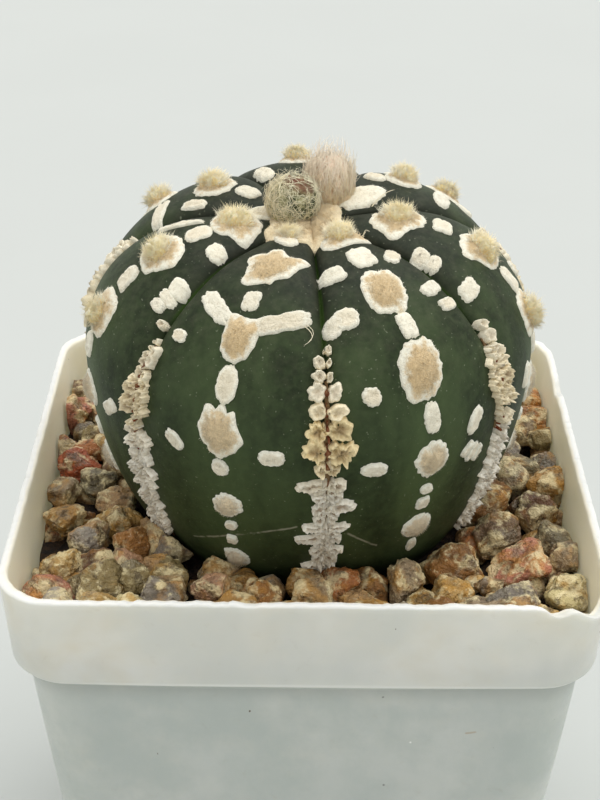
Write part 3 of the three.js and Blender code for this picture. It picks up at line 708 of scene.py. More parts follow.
# The hairs of each bud: how wild they are, the sweep they follow, their thickness, how far they run and
# how loosely, how open they leave the bare patch, a seed, and the tones of the foot, the upper side and
# the left side; the back bud's upper tone is paler, as painted light from above.
COATS = {
    "bud_front": dict(
        wild=1.0, sweep=(-0.1, -0.2, 0.9), thick=0.08, reach=0.7, loose=0.3, open_patch=0.62, seed=61,
        tones=(linear(224, 208, 156), linear(214, 212, 178), linear(238, 220, 166)),
    ),
    "bud_back": dict(
        wild=0.4, sweep=(0.12, -0.1, 1.4), thick=0.06, reach=1.1, loose=0.6, open_patch=0.0, seed=62,
        tones=(linear(255, 228, 168), linear(255, 236, 216), linear(255, 230, 200)),
    ),
}


# The pot and its fill

def square_outline(per_corner, per_side):
    """Points round a square of half width 1 with rounded corners, counter-clockwise from the front's
    left end."""
    r = POT["corner"]
    along = np.linspace(-(1 - r), 1 - r, per_side, endpoint=False)
    arc = np.linspace(-math.pi / 2, 0, per_corner, endpoint=False)
    edge = np.concatenate([stacked(along, -1.0), stacked(1 - r + r * np.cos(arc), -(1 - r) + r * np.sin(arc))])
    spins = zip(np.cos(round_turn(4)), np.sin(round_turn(4)))
    return np.concatenate([edge @ np.array([[c, s], [-s, c]]) for c, s in spins])


def pot_profile():
    """Half widths and levels of the pot's outside, from the middle of the underside up, of its rim, and of
    its inside, down to the middle of the floor."""
    foot, neck, lip, rim = (POT[name] for name in ("foot_half", "neck_half", "lip_foot_half", "rim_half"))
    top, floor, wall, z0 = POT["height"], POT["floor"], POT["wall"], LEDGE_Z
    slope, inner, ledge = (neck - foot) / z0, neck - wall, z0 + wall
    outside = [(share * foot, 0.0) for share in (0.25, 0.6, 0.9)]
    outside += [(foot - 0.45, 0.0), (foot - 0.1, 0.25), (foot + 0.06, 0.8)]
    outside += [(foot + slope * z, z) for z in np.linspace(2, z0 - 0.2, 26)]
    outside += [(neck + 0.1, z0 + 0.02), (lip - 0.9, z0 + 0.05), (lip - 0.45, z0 + 0.25)]
    outside += [(lip - 0.1, z0 + 0.75), (lip + 0.12, z0 + 1.5)]
    outside += [(lip + (rim - lip) * s, z0 + s * (top - z0)) for s in np.linspace(0.2, 0.955, 12)]
    over = [(rim + 0.02, top - 0.32), (rim - 0.06, top - 0.1), (rim - 0.25, top), (rim - 0.6, top)]
    over += [(rim - 0.9, top - 0.06), (rim - 1.06, top - 0.25)]
    inside = [(rim - wall - (rim - lip) * s, top - 0.5 - s * (top - 0.5 - ledge)) for s in np.linspace(0, 0.96, 10)]
    inside += [(lip - 1.3, ledge + 0.05), (inner, ledge), (inner - 0.1, ledge - 0.4)]
    inside += [(inner - slope * (z0 - z), z) for z in np.linspace(z0 - 2, floor + 1, 12)]
    inside += [(inner - slope * z0 - 0.3, floor), (14.0, floor), (6.0, floor)]
    return outside, over, inside


def pot_surface(unevenness):
    """The pot: its profile carried round the rounded square. The lip's foot sags between the corners. The
    rim is lowered by bells round its dents and by a little noise, and the walls bow slightly."""
    outside, over, inside = pot_profile()
    half, level = np.array(outside + over + inside).T[..., None]
    outline = square_outline(14, 110)
    x, y = half * outline[:, 0], half * outline[:, 1]
    row = np.arange(len(half))[:, None]
    middle = 1 - np.abs(outline).min(axis=1) ** 2
    z = level - LIP_SAG * middle * (bell(level, LEDGE_Z, 4) * (row < len(outside)))
    near_rim = rise_over(z, RIM_ZONE, POT["height"]) ** 2
    edge = outline * POT["rim_half"]
    sag = sum(depth * bell(np.hypot(*(edge - (dx, dy)).T), 0, reach) for dx, dy, reach, depth in RIM_DENTS)
    edge = stacked(*edge.T, 0.0)
    ripple = lattice_noise(edge * 0.8, 3) + 0.9 * lattice_noise(edge * 1.9, 4)
    ripple += 0.8 * np.maximum(lattice_noise(edge * 3.3, 5), 0) ** 2
    z -= near_rim * sag + near_rim**6 * unevenness * (0.5 + 0.5 * ripple)
    bow = WALL_BOW * lattice_noise(stacked(x * 0.045, y * 0.045, z * 0.05), 8)
    bow = bow * rise_over(z, 0, 20) * rise_over(half, 0, 20)
    wider = 1 + bow / POT["rim_half"]
    # The inside rows, where light shining through the wall is painted.
    within = np.broadcast_to(row >= len(outside) + 4, x.shape)[::-1]
    grid = stacked(x * wider, y * wider, z)[::-1, ::-1]
    return closed_surface(grid, (0, 0, POT["floor"]), (0, 0, 0), within=np.append(within, [1, 0]))


def drain_cutter():
    """Four cylinders through the pot's floor, as one surface."""
    r, offsets, turns = POT["drain_radius"], (-POT["drain_offset"], POT["drain_offset"]), round_turn(32)
    holes = []
    for x, y in itertools.product(offsets, repeat=2):
        grid = stacked(x + r * np.cos(turns), y + r * np.sin(turns), [[DRAIN_REACH], [-DRAIN_REACH]])
        holes.append(closed_surface(grid, (x, y, DRAIN_REACH), (x, y, -DRAIN_REACH)))
    return join(holes)


def stone_room(x, y, width, placed):
    """Whether a stone fits between the pot's wall, the body's ring at the grit level and its neighbours."""
    if max(abs(x), abs(y)) > POT["rim_half"] - POT["wall"] - 0.3 * width:
        return False
    if math.hypot(x - PLANT["x"], y - RING_Y) < RING_RADIUS + 0.25 * width:
        return False
    return all(math.hypot(x - px, y - py) > 0.36 * (width + pw) for px, py, pw, _ in placed)


def stone_places():
    """The large stones, then a staggered grid of others wherever there is room, as the solids have them."""
    draws = park_draws(7)
    placed = list(LARGE_STONES)
    tones = np.random.default_rng(12)
    for row, i in itertools.product(range(-8, 9), repeat=2):
        x = (i + (0.5 if row % 2 else 0)) * STONE["pitch"] + STONE["jitter"] * (2 * next(draws) - 1)
        y = row * STONE["pitch"] * 0.87 + STONE["jitter"] * (2 * next(draws) - 1)
        width = STONE["least"] + (STONE["most"] - STONE["least"]) * next(draws)
        if stone_room(x, y, width, placed):
            placed.append((x, y, width, str(tones.choice(COMMON_TONES))))
    return placed


def icosphere(levels):
    """Points and faces of a ball of radius 1, each level cutting every face into four."""
    g = (1 + math.sqrt(5)) / 2
    points = [(-1, g, 0), (1, g, 0), (-1, -g, 0), (1, -g, 0), (0, -1, g), (0, 1, g)]
    points += [(0, -1, -g), (0, 1, -g), (g, 0, -1), (g, 0, 1), (-g, 0, -1), (-g, 0, 1)]
    faces = [(0, 11, 5), (0, 5, 1), (0, 1, 7), (0, 7, 10), (0, 10, 11), (1, 5, 9), (5, 11, 4), (11, 10, 2)]
    faces += [(10, 7, 6), (7, 1, 8), (3, 9, 4), (3, 4, 2), (3, 2, 6), (3, 6, 8), (3, 8, 9), (4, 9, 5)]
    faces += [(2, 4, 11), (6, 2, 10), (8, 6, 7), (9, 8, 1)]
    points, faces = unit(np.array(points, float)), np.array(faces)
    for _ in range(levels):
        edges = np.sort(np.concatenate([faces[:, [0, 1]], faces[:, [1, 2]], faces[:, [2, 0]]]), axis=1)
        pairs, which = np.unique(edges, axis=0, return_inverse=True)
        ab, bc, ca = len(points) + which.reshape(3, -1)
        points = np.concatenate([points, unit(points[pairs].mean(axis=1))])
        a, b, c = faces.T
        faces = np.concatenate([stacked(*f) for f in ((a, ab, ca), (b, bc, ab), (c, ca, bc), (ab, bc, ca))])
    return points, faces


def stone_surface(x, y, width, tone, level, ball, seed):
    """A broken stone: the distance of its surface in each direction is that of a dozen flat faces,
    1 / (n . d), blended as a power mean so that the edges are worn, with chips and crumbs of noise on
    it. A chip is the cell of directions nearest to a random one, sunk or raised as a whole."""
    rng = np.random.default_rng(seed)
    directions, faces = ball
    normals = unit(rng.normal(size=(STONE["flats"], 3)))
    facing = np.clip(directions @ normals.T, 0, None) / rng.uniform(0.74, 1.0, STONE["flats"])
    sharp = rng.uniform(18, 42)
    radius = ((facing**sharp).sum(axis=1) + 1.16**-sharp) ** (-1 / sharp)
    chips = directions @ unit(rng.normal(size=(STONE["chips"], 3))).T
    weight = np.exp(70 * (chips - chips.max(axis=1, keepdims=True)))
    lumps = weight @ rng.uniform(-0.11, 0.06, STONE["chips"]) / weight.sum(axis=1)
    lumps = lumps + 0.1 * layered_noise(directions * 2.1 + seed, 4, seed)
    lumps = lumps + 0.05 * layered_noise(directions * 9 + seed, 2, seed + 3)
    points = directions * (radius * (1 + lumps))[:, None]
    flat = rng.uniform(0.72, 0.92)
    points = points * (width / 2 * np.array([1.06, rng.uniform(0.85, 1.02), flat]))
    spin = Matrix.Rotation(rng.uniform(0, 6.3), 3, "Z") @ Matrix.Rotation(rng.uniform(-0.4, 0.4), 3, "X")
    points = points @ np.array(spin).T + (x, y, level)
    shade = linear(*TONES[tone][:3]) * rng.uniform(0.85, 1.15)
    count = len(points)
    # How deep each point is sunk, which the material darkens as painted shade.
    own, pit_shade = np.full(count, rng.uniform(0, 40)), np.clip(-lumps * 5, 0, 1)
    layers = dict(tint=np.tile(shade, (count, 1)), seed=own, pit_shade=pit_shade)
    return ball_surface(points, faces, layers)


def within_pot(points, clearance):
    """Points drawn in to stay inside the lip: past the inner wall's rounded square at their level they
    are brought back onto it, in the corners along the corner's radius."""
    share = rise_over(points[:, 2], LEDGE_Z, POT["height"])
    half = POT["lip_foot_half"] + share * (POT["rim_half"] - POT["lip_foot_half"]) - POT["wall"] - clearance
    radius, straight = half * POT["corner"], (half - half * POT["corner"])[:, None]
    flat = np.abs(points[:, :2])
    beyond = flat - straight
    far = np.linalg.norm(np.maximum(beyond, 0), axis=1)
    back = np.where((beyond > 0).all(axis=1), radius / np.maximum(far, radius), 1.0)[:, None]
    flat = np.where(beyond > 0, straight + np.minimum(beyond * back, radius[:, None]), flat)
    return np.concatenate([np.sign(points[:, :2]) * flat, points[:, 2:]], axis=1)


def clear_of_body(points, clearance):
    """Points pushed sideways out of the plant, to stand clear of its skin by the clearance."""
    x, y0, z0 = (points - (PLANT["x"], PLANT["y"], PLANT["z"])).T
    y, z = y0 * LEAN_COS + z0 * LEAN_SIN, z0 * LEAN_COS - y0 * LEAN_SIN
    r = np.hypot(x, y)
    ring = PLANT["radius"] * np.sqrt(np.clip(1 - (z / PLANT["base_drop"]) ** 2, 0.02, 1)) + clearance
    wider = 1 + np.maximum(ring - r, 0) * (z < 0) / np.maximum(r, 1)
    return leaning(stacked(x * wider, y * wider, z))


def grit_surfaces():
    """The stones that show in front, finely cut, then all the others, and a lower layer under them."""
    fine, coarse, small = icosphere(4), icosphere(3), icosphere(2)
    front, rest = [], []
    draws = np.random.default_rng(31)
    for i, (x, y, width, tone) in enumerate(stone_places()):
        level = GRIT_TOP - STONE["seat"] + draws.uniform(-0.5, 0.6)
        if i < len(LARGE_STONES):
            front.append(stone_surface(x, y, width * 1.08, tone, level, fine, 100 + i))
        else:
            rest.append(stone_surface(x, y, width * 1.12, tone, level, coarse, 100 + i))
    for i in range(STONE["under"]):
        x, y = draws.uniform(-35, 35, 2)
        width = draws.uniform(2.2, 4.6)
        if stone_room(x, y, width, ()):
            tone = COMMON_TONES[i * 7 % len(COMMON_TONES)]
            rest.append(stone_surface(x, y, width, tone, draws.uniform(60.0, 61.6), small, 500 + i))
    return [s._replace(points=clear_of_body(within_pot(s.points, 0.35), 0.5)) for s in (join(front), join(rest))]


def bed_surface():
    """The bed between the stones, dark as painted shade in their gaps: a ring from the plant's hole to the pot's
    walls, its top a field of lumps, closed underneath."""
    half = POT["rim_half"] - POT["wall"] - 0.4
    outer = square_outline(8, 30) * half
    middle = np.array([PLANT["x"], PLANT["y"] + (PLANT["z"] - BED["level"]) * LEAN_SIN])
    inner = middle + unit(outer - middle) * BED["hole"]
    tops = BED["rings"]
    share = np.concatenate([np.linspace(0, 1, tops), [1.0, 0.5, 0.0]])[:, None, None]
    above = (np.arange(len(share)) < tops)[:, None]
    flat = inner + share * (outer - inner)
    lumps = 0.7 * lattice_noise(stacked(flat[..., 0] * 0.6, flat[..., 1] * 0.6, 0.0), 4) * above
    level = np.where(above, BED["top"], SOIL_TOP + 0.4) + lumps
    foot = np.where(above, 1.0, (POT["neck_half"] - 1.6) / half)[..., None]
    return ring_surface(np.concatenate([flat * foot, level[..., None]], -1))


# The plant's pieces

def body_surface():
    """The body and its taproot: the skin on a grid whose columns crowd towards the grooves as the 1.7th
    power of the distance, with a fine slit at the bottom of each groove and a slow swell of the skin."""
    half = BODY_COLUMNS // 2
    near = (np.arange(half) / half) ** 1.7 / 2
    share = np.sort(np.concatenate([near, 1 - near[::-1][: half - 1], [0.5]]))
    bearings = (PLANT["first_groove"] + RIB * (np.arange(PLANT["ribs"])[:, None] + share)).ravel()
    descents = np.concatenate([np.linspace(1, 6, 5), np.linspace(7, LAST_DESCENT, 130)])
    b, d = np.meshgrid(bearings, descents)
    g = from_groove(b)
    slit = 0.3 * np.exp(-g / 0.022) * np.clip(read(GROOVE_DEPTH, d), 0, 1)
    swell = 0.09 * lattice_noise(skin(b, d) * 0.16, 2) * np.clip(g * 4, 0, 1)
    radii, levels = np.array(ROOT).T[..., None]
    around = np.radians(bearings)
    root = stacked(radii * np.sin(around), -radii * np.cos(around), levels)
    plain = np.ones(root.shape[:2])
    fall = np.append(np.concatenate([d, plain * LAST_DESCENT]), [0, LAST_DESCENT])
    away = np.append(np.concatenate([g, plain]), [0, 1])
    ends = skin(np.array(0.0), np.array(0.0)), np.array([0, 0, ROOT_TIP])
    grid = np.concatenate([skin(b, d, swell - slit), root])
    return closed_surface(leaning(grid), *map(leaning, ends), fall=fall, away=away)


def crest_of(rib):
    """Bearing of the crest of a rib."""
    return PLANT["first_groove"] + (rib - 0.5) * RIB


def felt_marks():
    """Every pad, then every fleck, as marks, cream near the crown and greyer and less tan towards the
    base, with the wool of the crown as the last pad."""
    pads, flecks = [], []
    seed = 1
    rng = np.random.default_rng(9)
    for rib, marks in enumerate(MARKS):
        for kind in ("pads", "tufts", "flecks"):
            for i, (off, descent, *size) in enumerate(marks[kind]):
                seed += 1
                low = float(rise_over(descent, *FADE))
                tint = (FELT_HIGH * (1 - low) + FELT_LOW * low) * rng.uniform(0.93, 1.04)
                form, age, found = PAD, 0.95 - 0.4 * low, pads
                if kind == "flecks":
                    form, age, found = BAR if (rib, kind, i) in BARS else FLECK, rng.uniform(0.05, 0.35), flecks
                lobes = LOBES.get((rib, kind, i), ())
                found.append(Mark((crest_of(rib) + off, descent, *size), form, seed, tint, age, lobes))
    pads.append(Mark(WOOL_PLACE, WOOL, 77, WOOL_TONE, 0.8, WOOL_LOBES))
    return pads, flecks


def nap_surface(marks, per_mm2, inner, shortest, longest, seed):
    """The nap of felt marks: short fibres, a share of them rooted on the mark's mound and the rest evenly
    and shorter, upright in its middle and laid outwards at its edge, tan where the mark is tan."""
    rng = np.random.default_rng(seed)
    coats = []
    for mark in marks:
        bearing, descent, half_width, half_length, _ = mark.place
        count = int(per_mm2 * math.pi * half_width * half_length)
        share = rng.uniform(0, 1, count) ** 0.5 * np.where(rng.uniform(size=count) < inner, 0.72, 1.0)
        turns = rng.uniform(0, 2 * np.pi, count)
        roots = skin(*on_mark(mark, share, turns), mark_lift(mark, share * 0.97) - 0.03)
        out = directions_at(bearing, descent)[2]
        aside = roots - skin(bearing, descent, mark.kind["height"])
        aside = unit(aside - (aside @ out)[:, None] * out)
        wide = share[:, None]
        heading = out * (1.0 - 0.6 * wide**3) + aside * (0.25 + 1.3 * wide**3)
        heading = unit(heading + 0.6 * noise_ways(roots * 0.9, 31, seed) + rng.normal(0, 0.35, (count, 3)))
        facing = leaning_ways(out + 0.35 * aside * wide + 0.35 * heading)
        length = rng.uniform(shortest, longest, count) * (1 - 0.55 * rise_over(share, 0.6, 0.85))
        paths = roots[:, None] + heading[:, None] * [[0.0], [1.0]] * length[:, None, None]
        low = float(rise_over(descent, *NAP_FADE))
        tan = (0.88 - 0.16 * low - share) / 0.26 + 0.6 * lattice_noise(roots * 0.8, seed + 9)
        tan = (np.clip(tan, 0, 1) * mark.age)[:, None]
        tint = mark.tint * (1 - tan) + (NAP_TAN * (1 - low) + NAP_GREY * low) * tan
        tint = tint * rng.uniform(0.85, 1.08, (count, 1))
        coats.append(strands(leaning(paths), rng.uniform(0.05, 0.08, count), tint=tint, facing=facing))
    return join(coats)


def stray_surface():
    """The stray hairs that lie across the skin, each an arc through three places."""
    rng = np.random.default_rng(15)
    share = np.linspace(0, 1, 7)
    bends = stacked((1 - share) * (1 - 2 * share), 4 * share * (1 - share), share * (2 * share - 1))
    paths = []
    for hair in np.repeat(np.array(STRAY_HAIRS, float), STRAY_COPIES, axis=0):
        bearing, descent = (bends @ (hair + rng.normal(0, 0.35, (3, 2)))).T
        paths.append(leaning(skin(bearing, descent, 0.15 + 0.5 * np.sin(share * np.pi))))
    count = len(paths)
    facing = leaning_ways(np.tile([0.0, -0.5, 0.8], (count, 1)))
    return strands(np.array(paths), np.full(count, 0.11), tint=np.tile(STRAY_TONE, (count, 1)), facing=facing)


def tuft_surfaces(hairs):
    """Each tuft is a low dome and hairs that stand out of it, tan at the root and cream at the tip."""
    rng = np.random.default_rng(21)
    domes, coats = [], []
    places = [(crest_of(rib) + off, *more) for rib, marks in enumerate(MARKS) for off, *more in marks["tufts"]]
    for seed, (bearing, descent, half_width, half_length, turn) in enumerate(places, 201):
        tint = TUFT_TONE * rng.uniform(0.96, 1.0)
        low, factor = LOW_DOME
        kind = dict(DOME, height=DOME["height"] * (factor if descent < low else 1.0))
        place = (bearing, descent, half_width * DOME_SHARE, half_length * DOME_SHARE, turn)
        mark = Mark(place, kind, seed, tint, 1.0, ())
        domes.append(button(mark))
        coats.append(tuft_coat(mark, hairs, rng))
    return join(domes), join(coats)


def tuft_coat(mark, hairs, rng):
    """The hairs of one tuft: rooted all over its dome, they lean outwards more towards its edge and a
    little towards the crown, gather in locks and bend at random. Each is paler towards the dome's edge, and on its
    upper side as painted light."""
    across, down, out = directions_at(*mark.place[:2])
    rho = np.sqrt(rng.uniform(0, 1, hairs))
    phi = rng.uniform(0, 2 * np.pi, hairs)
    wide = rho[:, None]
    roots = skin(*on_mark(mark, rho, phi), mark_lift(mark, rho * 0.9) - 0.1)
    sideways = unit(np.cos(phi)[:, None] * across - np.sin(phi)[:, None] * down)
    locks = noise_ways(roots * 1.1, 17, mark.seed)
    lean = sideways * (0.1 + wide**1.5) - down * 0.3
    heading = unit(out + lean + 0.75 * locks + rng.normal(0, 0.2, (hairs, 3)))
    length = rng.uniform(0.3, 1.15, hairs) * (1.15 - 0.35 * rho)
    bend = rng.normal(0, 0.25, (hairs, 3)) + sideways * 0.2
    step = np.linspace(0, 1, 3)[:, None]
    paths = roots[:, None] + (heading[:, None] * step + bend[:, None] * step**2) * length[:, None, None]
    # Painted light: hairs on the dome's upper side are paler; all are paler towards its edge.
    upper = np.clip(np.sin(phi) * rho, 0, 1)
    pale = np.clip(0.05 + 0.75 * rho**2.5 + 0.4 * upper + rng.normal(0, 0.12, hairs), 0, 1)[:, None]
    tint = TUFT_TAN_AND_SHADED * (1 - pale) + TUFT_PALE_AND_LIT * pale
    facing = leaning_ways(out + 0.5 * wide * sideways + 0.35 * locks)
    return strands(leaning(paths), rng.uniform(0.04, 0.07, hairs), tint=tint, facing=facing)


def band_rows(groove, rng):
    """The rows of one band, each (descent, reach to the left, reach to the right, half length). The
    bands that face the front have the rows seen there. The others follow the band's width, wide and
    narrow rows by turns."""
    if groove in SEEN_ROWS:
        return SEEN_ROWS[groove]
    rows = []
    descent = BAND_STARTS[groove]
    while descent < BAND_END:
        young = min(1.0, 0.5 + (descent - BAND_STARTS[groove]) / 22)
        width = float(read(BAND_HALF_WIDTH, descent)) * young
        left, right = width * rng.uniform(0.6, 1.15, 2) * rng.choice([0.7, 1.0, 1.1])
        upper = descent < PETAL_FROM
        half_length = rng.uniform(0.8, 1.3) * young if upper else rng.uniform(0.5, 0.85)
        rows.append((descent, left, right, half_length))
        descent += half_length * (2.9 if upper else 3.3)
    return rows


def band_surface():
    """The corky bands. In each groove a low ribbon, dark as painted shade in the gaps between the ears, carries
    rows of ears, with crumbs along the middle line and rust-coloured spots where the ears meet."""
    rng = np.random.default_rng(33)
    pieces = []
    for groove, start in enumerate(BAND_STARTS):
        bearing, seen = PLANT["first_groove"] + groove * RIB, groove in SEEN_ROWS
        pieces.append(ribbon(bearing, start + 6, groove))
        for row in band_rows(groove, rng):
            descent, left, right, half_length = row
            tan = float(np.clip(1.25 - abs(descent - RUFFLE_MIDDLE) / 12, 0, 1)) * (1.0 if groove == 0 else 0.45)
            tone = (BAND_CREAM if descent < PETAL_FROM else BAND_GREY) * (1 - tan) + BAND_TAN * tan
            pieces += row_ears(groove, bearing, row, tone, rng)
            if descent > RUFFLE_FROM - 6:
                for _ in range(3 if seen else 1):
                    off, size = rng.uniform(-0.75, 0.75) * min(1.2, (left + right) / 3), rng.uniform(0.25, 0.6, 2)
                    tint = tone * rng.uniform(0.7, 1.0)
                    pieces.append(ear(bearing, descent + rng.uniform(-2, 2), off, *size, 0, rng, tint, CRUMB))
            if RUST_SPAN[0] < descent < RUST_SPAN[1] and min(left, right) > 0.6:
                wide = rng.uniform(0.2, 0.38) * (1 if groove else 1.4)
                at, long = descent + rng.uniform(-0.8, 0.8), half_length * rng.uniform(0.35, 0.65)
                pieces.append(ear(bearing, at, 0.0, wide, long, 0, rng, BAND_RUST, SEAM))
        for descent in np.arange(start + 14, RUST_SPAN[1], 1.5):
            if rng.uniform() < 0.45:
                continue
            off, long, tint = rng.uniform(-0.12, 0.12), rng.uniform(0.35, 0.7), BAND_RUST * rng.uniform(0.8, 1.5)
            pieces.append(ear(bearing, descent, off, 0.13, long, 0, rng, tint, SEAM))
    return join(pieces)


def row_ears(groove, bearing, row, tone, rng):
    """The ears of one row, to each side of the groove: smooth at the top of a band, ruffled in its middle
    and narrow towards the base, where the bands in front have a smaller ear over each full one."""
    descent, left, right, half_length = row
    kind = SHELL if descent < RUFFLE_FROM else RUFFLE if descent < PETAL_FROM else PETAL
    petals = descent >= PETAL_FROM and groove in SEEN_ROWS
    if groove not in SEEN_ROWS:
        kind = dict(kind, rings=4, spokes=16)
    loose = 2.0 if groove else 1.0
    for (side, reach), upper in itertools.product(((-1, left), (1, right)), (0, 1) if petals else (0,)):
        if reach < LEAST_EAR:
            continue
        tint = tone * (rng.uniform(0.78, 1.0) if upper else rng.uniform(0.88, 1.08))
        at = descent + loose * rng.uniform(-0.5, 0.5) + 1.4 * upper
        tilt = side * rng.uniform(-18, 8) if petals else loose * rng.uniform(-14, 14)
        length = min(half_length, reach * 0.8) * rng.uniform(0.9, 1.1) ** loose * (1 - 0.25 * upper)
        out = reach * rng.uniform(0.94, 1.06) ** loose * (rng.uniform(0.4, 0.62) if upper else 1)
        yield ear(bearing, at, side * out * 0.5, out * 0.56, length, tilt, rng, tint, kind)


def ear(bearing, descent, off, half_width, half_length, turn, rng, tint, kind):
    """A rounded piece of a band, a small button beside the groove's middle line."""
    beside = bearing + math.degrees(off / float(profile(np.array(descent))[0]))
    kind = dict(kind, height=kind["height"] * rng.uniform(0.75, 1.2))
    seed = int(rng.integers(1, 9000))
    return button(Mark((beside, descent, half_width, half_length, turn), kind, seed, tint, kind["hollow_tan_and_shade"], ()))


def ribbon(bearing, start, seed):
    """The low ribbon under a band, dark as painted shade between the ears: a flat oval section carried down the
    groove.
    """
    descents, turns = np.linspace(start + 1, BAND_END, 60)[:, None], round_turn(8)
    waver = 1 + 0.2 * lattice_noise(stacked(descents, 0.0, float(seed)), seed)
    half = 0.14 * read(BAND_HALF_WIDTH, descents) * waver
    across = np.degrees(half * np.cos(turns) / profile(descents)[0])
    grid = skin(bearing + across, descents, 0.05 + 0.25 * np.sin(turns))[:, ::-1]
    ends = skin(bearing, start + 0.6, 0.05), skin(bearing, BAND_END + 0.5, 0.05)
    count = across.size + 2
    layers = dict(core=np.full(count, 0.9), **one_tone(count, 0.4, RIBBON_SHADE))
    return closed_surface(leaning(grid), *map(leaning, ends), **layers)


def bud_surface(shape, seed):
    """A ball whose surface sinks between overlapping scales set in a spiral, each nearest scale taken by
    angle, with the share of the depth kept as a layer."""
    directions, faces = icosphere(5)
    i = np.arange(shape["scales"])
    z = 1 - 2 * (i + 0.5) / shape["scales"]
    turn = i * math.pi * (3 - math.sqrt(5))
    tips = stacked(np.sqrt(1 - z * z) * np.cos(turn), np.sqrt(1 - z * z) * np.sin(turn), z)
    nearest = np.arccos(np.clip(directions @ tips.T, -1, 1)).min(axis=1)
    sunk = np.minimum(1, (nearest / math.sqrt(4 / shape["scales"])) ** 2)
    radius = shape["radius"] * (1 - BUD_SCALE_DEPTH * sunk + 0.015 * lattice_noise(directions * 9, seed))
    points = directions * radius[:, None] * shape["stretch"] + shape["at"]
    cap, bare = (directions @ unit(np.array(way)) for way in (BUD_CAP, BUD_BARE))
    return ball_surface(leaning(points), faces, dict(sunk=sunk, cap=cap, bare=bare))


def bud_coat(shape, coat):
    """The hairs of a bud: each starts on the ball, runs over it in a heading that mixes the sweep with
    chance, curls, and lifts off the surface by its own share. Tones are those of its foot, its upper
    side, paler on the back bud as painted light, and its left side; fewer hairs start where the scales are to show."""
    rng = np.random.default_rng(coat["seed"])
    wild = coat["wild"]
    heads = unit(rng.normal(size=(shape["hairs"] * 2, 3)) + np.array([0, 0, 0.15]))
    bare = rise_over(heads @ unit(np.array(BUD_BARE)), 0.62, 0.87)
    bare = bare + 1.2 * rise_over(heads @ unit(np.array(BUD_CAP)), 0.66, 0.8)
    heads = heads[rng.uniform(size=len(heads)) > coat["open_patch"] * bare][: shape["hairs"]]
    count, steps = len(heads), 6
    wander = unit(rng.normal(size=(count, 3)) * wild + np.array(coat["sweep"]))
    curl = rng.normal(size=(count, 3)) * 0.5 * wild
    reach = rng.uniform(0.35, 1.0, count) * coat["reach"]
    loose = coat["loose"] * np.clip(0.55 + heads[:, 2], 0, 1)
    lift = rng.uniform(0.0, 0.09, count) + loose * rng.uniform(0, 1, count) ** 4
    path = []
    for share in np.arange(steps) / (steps - 1):
        ahead = unit(heads + (wander * share + curl * share**2) * reach[:, None])
        path.append(ahead * (shape["radius"] * (0.97 + lift * share))[:, None] * shape["stretch"] + shape["at"])
    foot, upper, left = coat["tones"]
    # Hairs take the upper tone towards the top; the back bud's upper tone is paler, as painted light from above.
    high = np.clip(0.5 + 0.7 * heads[:, 2:] + 0.25 * rng.normal(size=(count, 1)), 0, 1)
    aside = np.clip(-heads[:, :1] * 1.3 - 0.1, 0, 1)
    tint = (foot * (1 - high) + upper * high) * (1 - aside) + left * aside
    facing = leaning_ways(heads + np.array([0, 0, 0.3]))
    widths = rng.uniform(0.7, 1.2, count) * coat["thick"]
    tint = tint * rng.uniform(0.88, 1.08, (count, 1))
    return strands(leaning(np.stack(path, axis=1)), widths, tint=tint, facing=facing)


# Materials

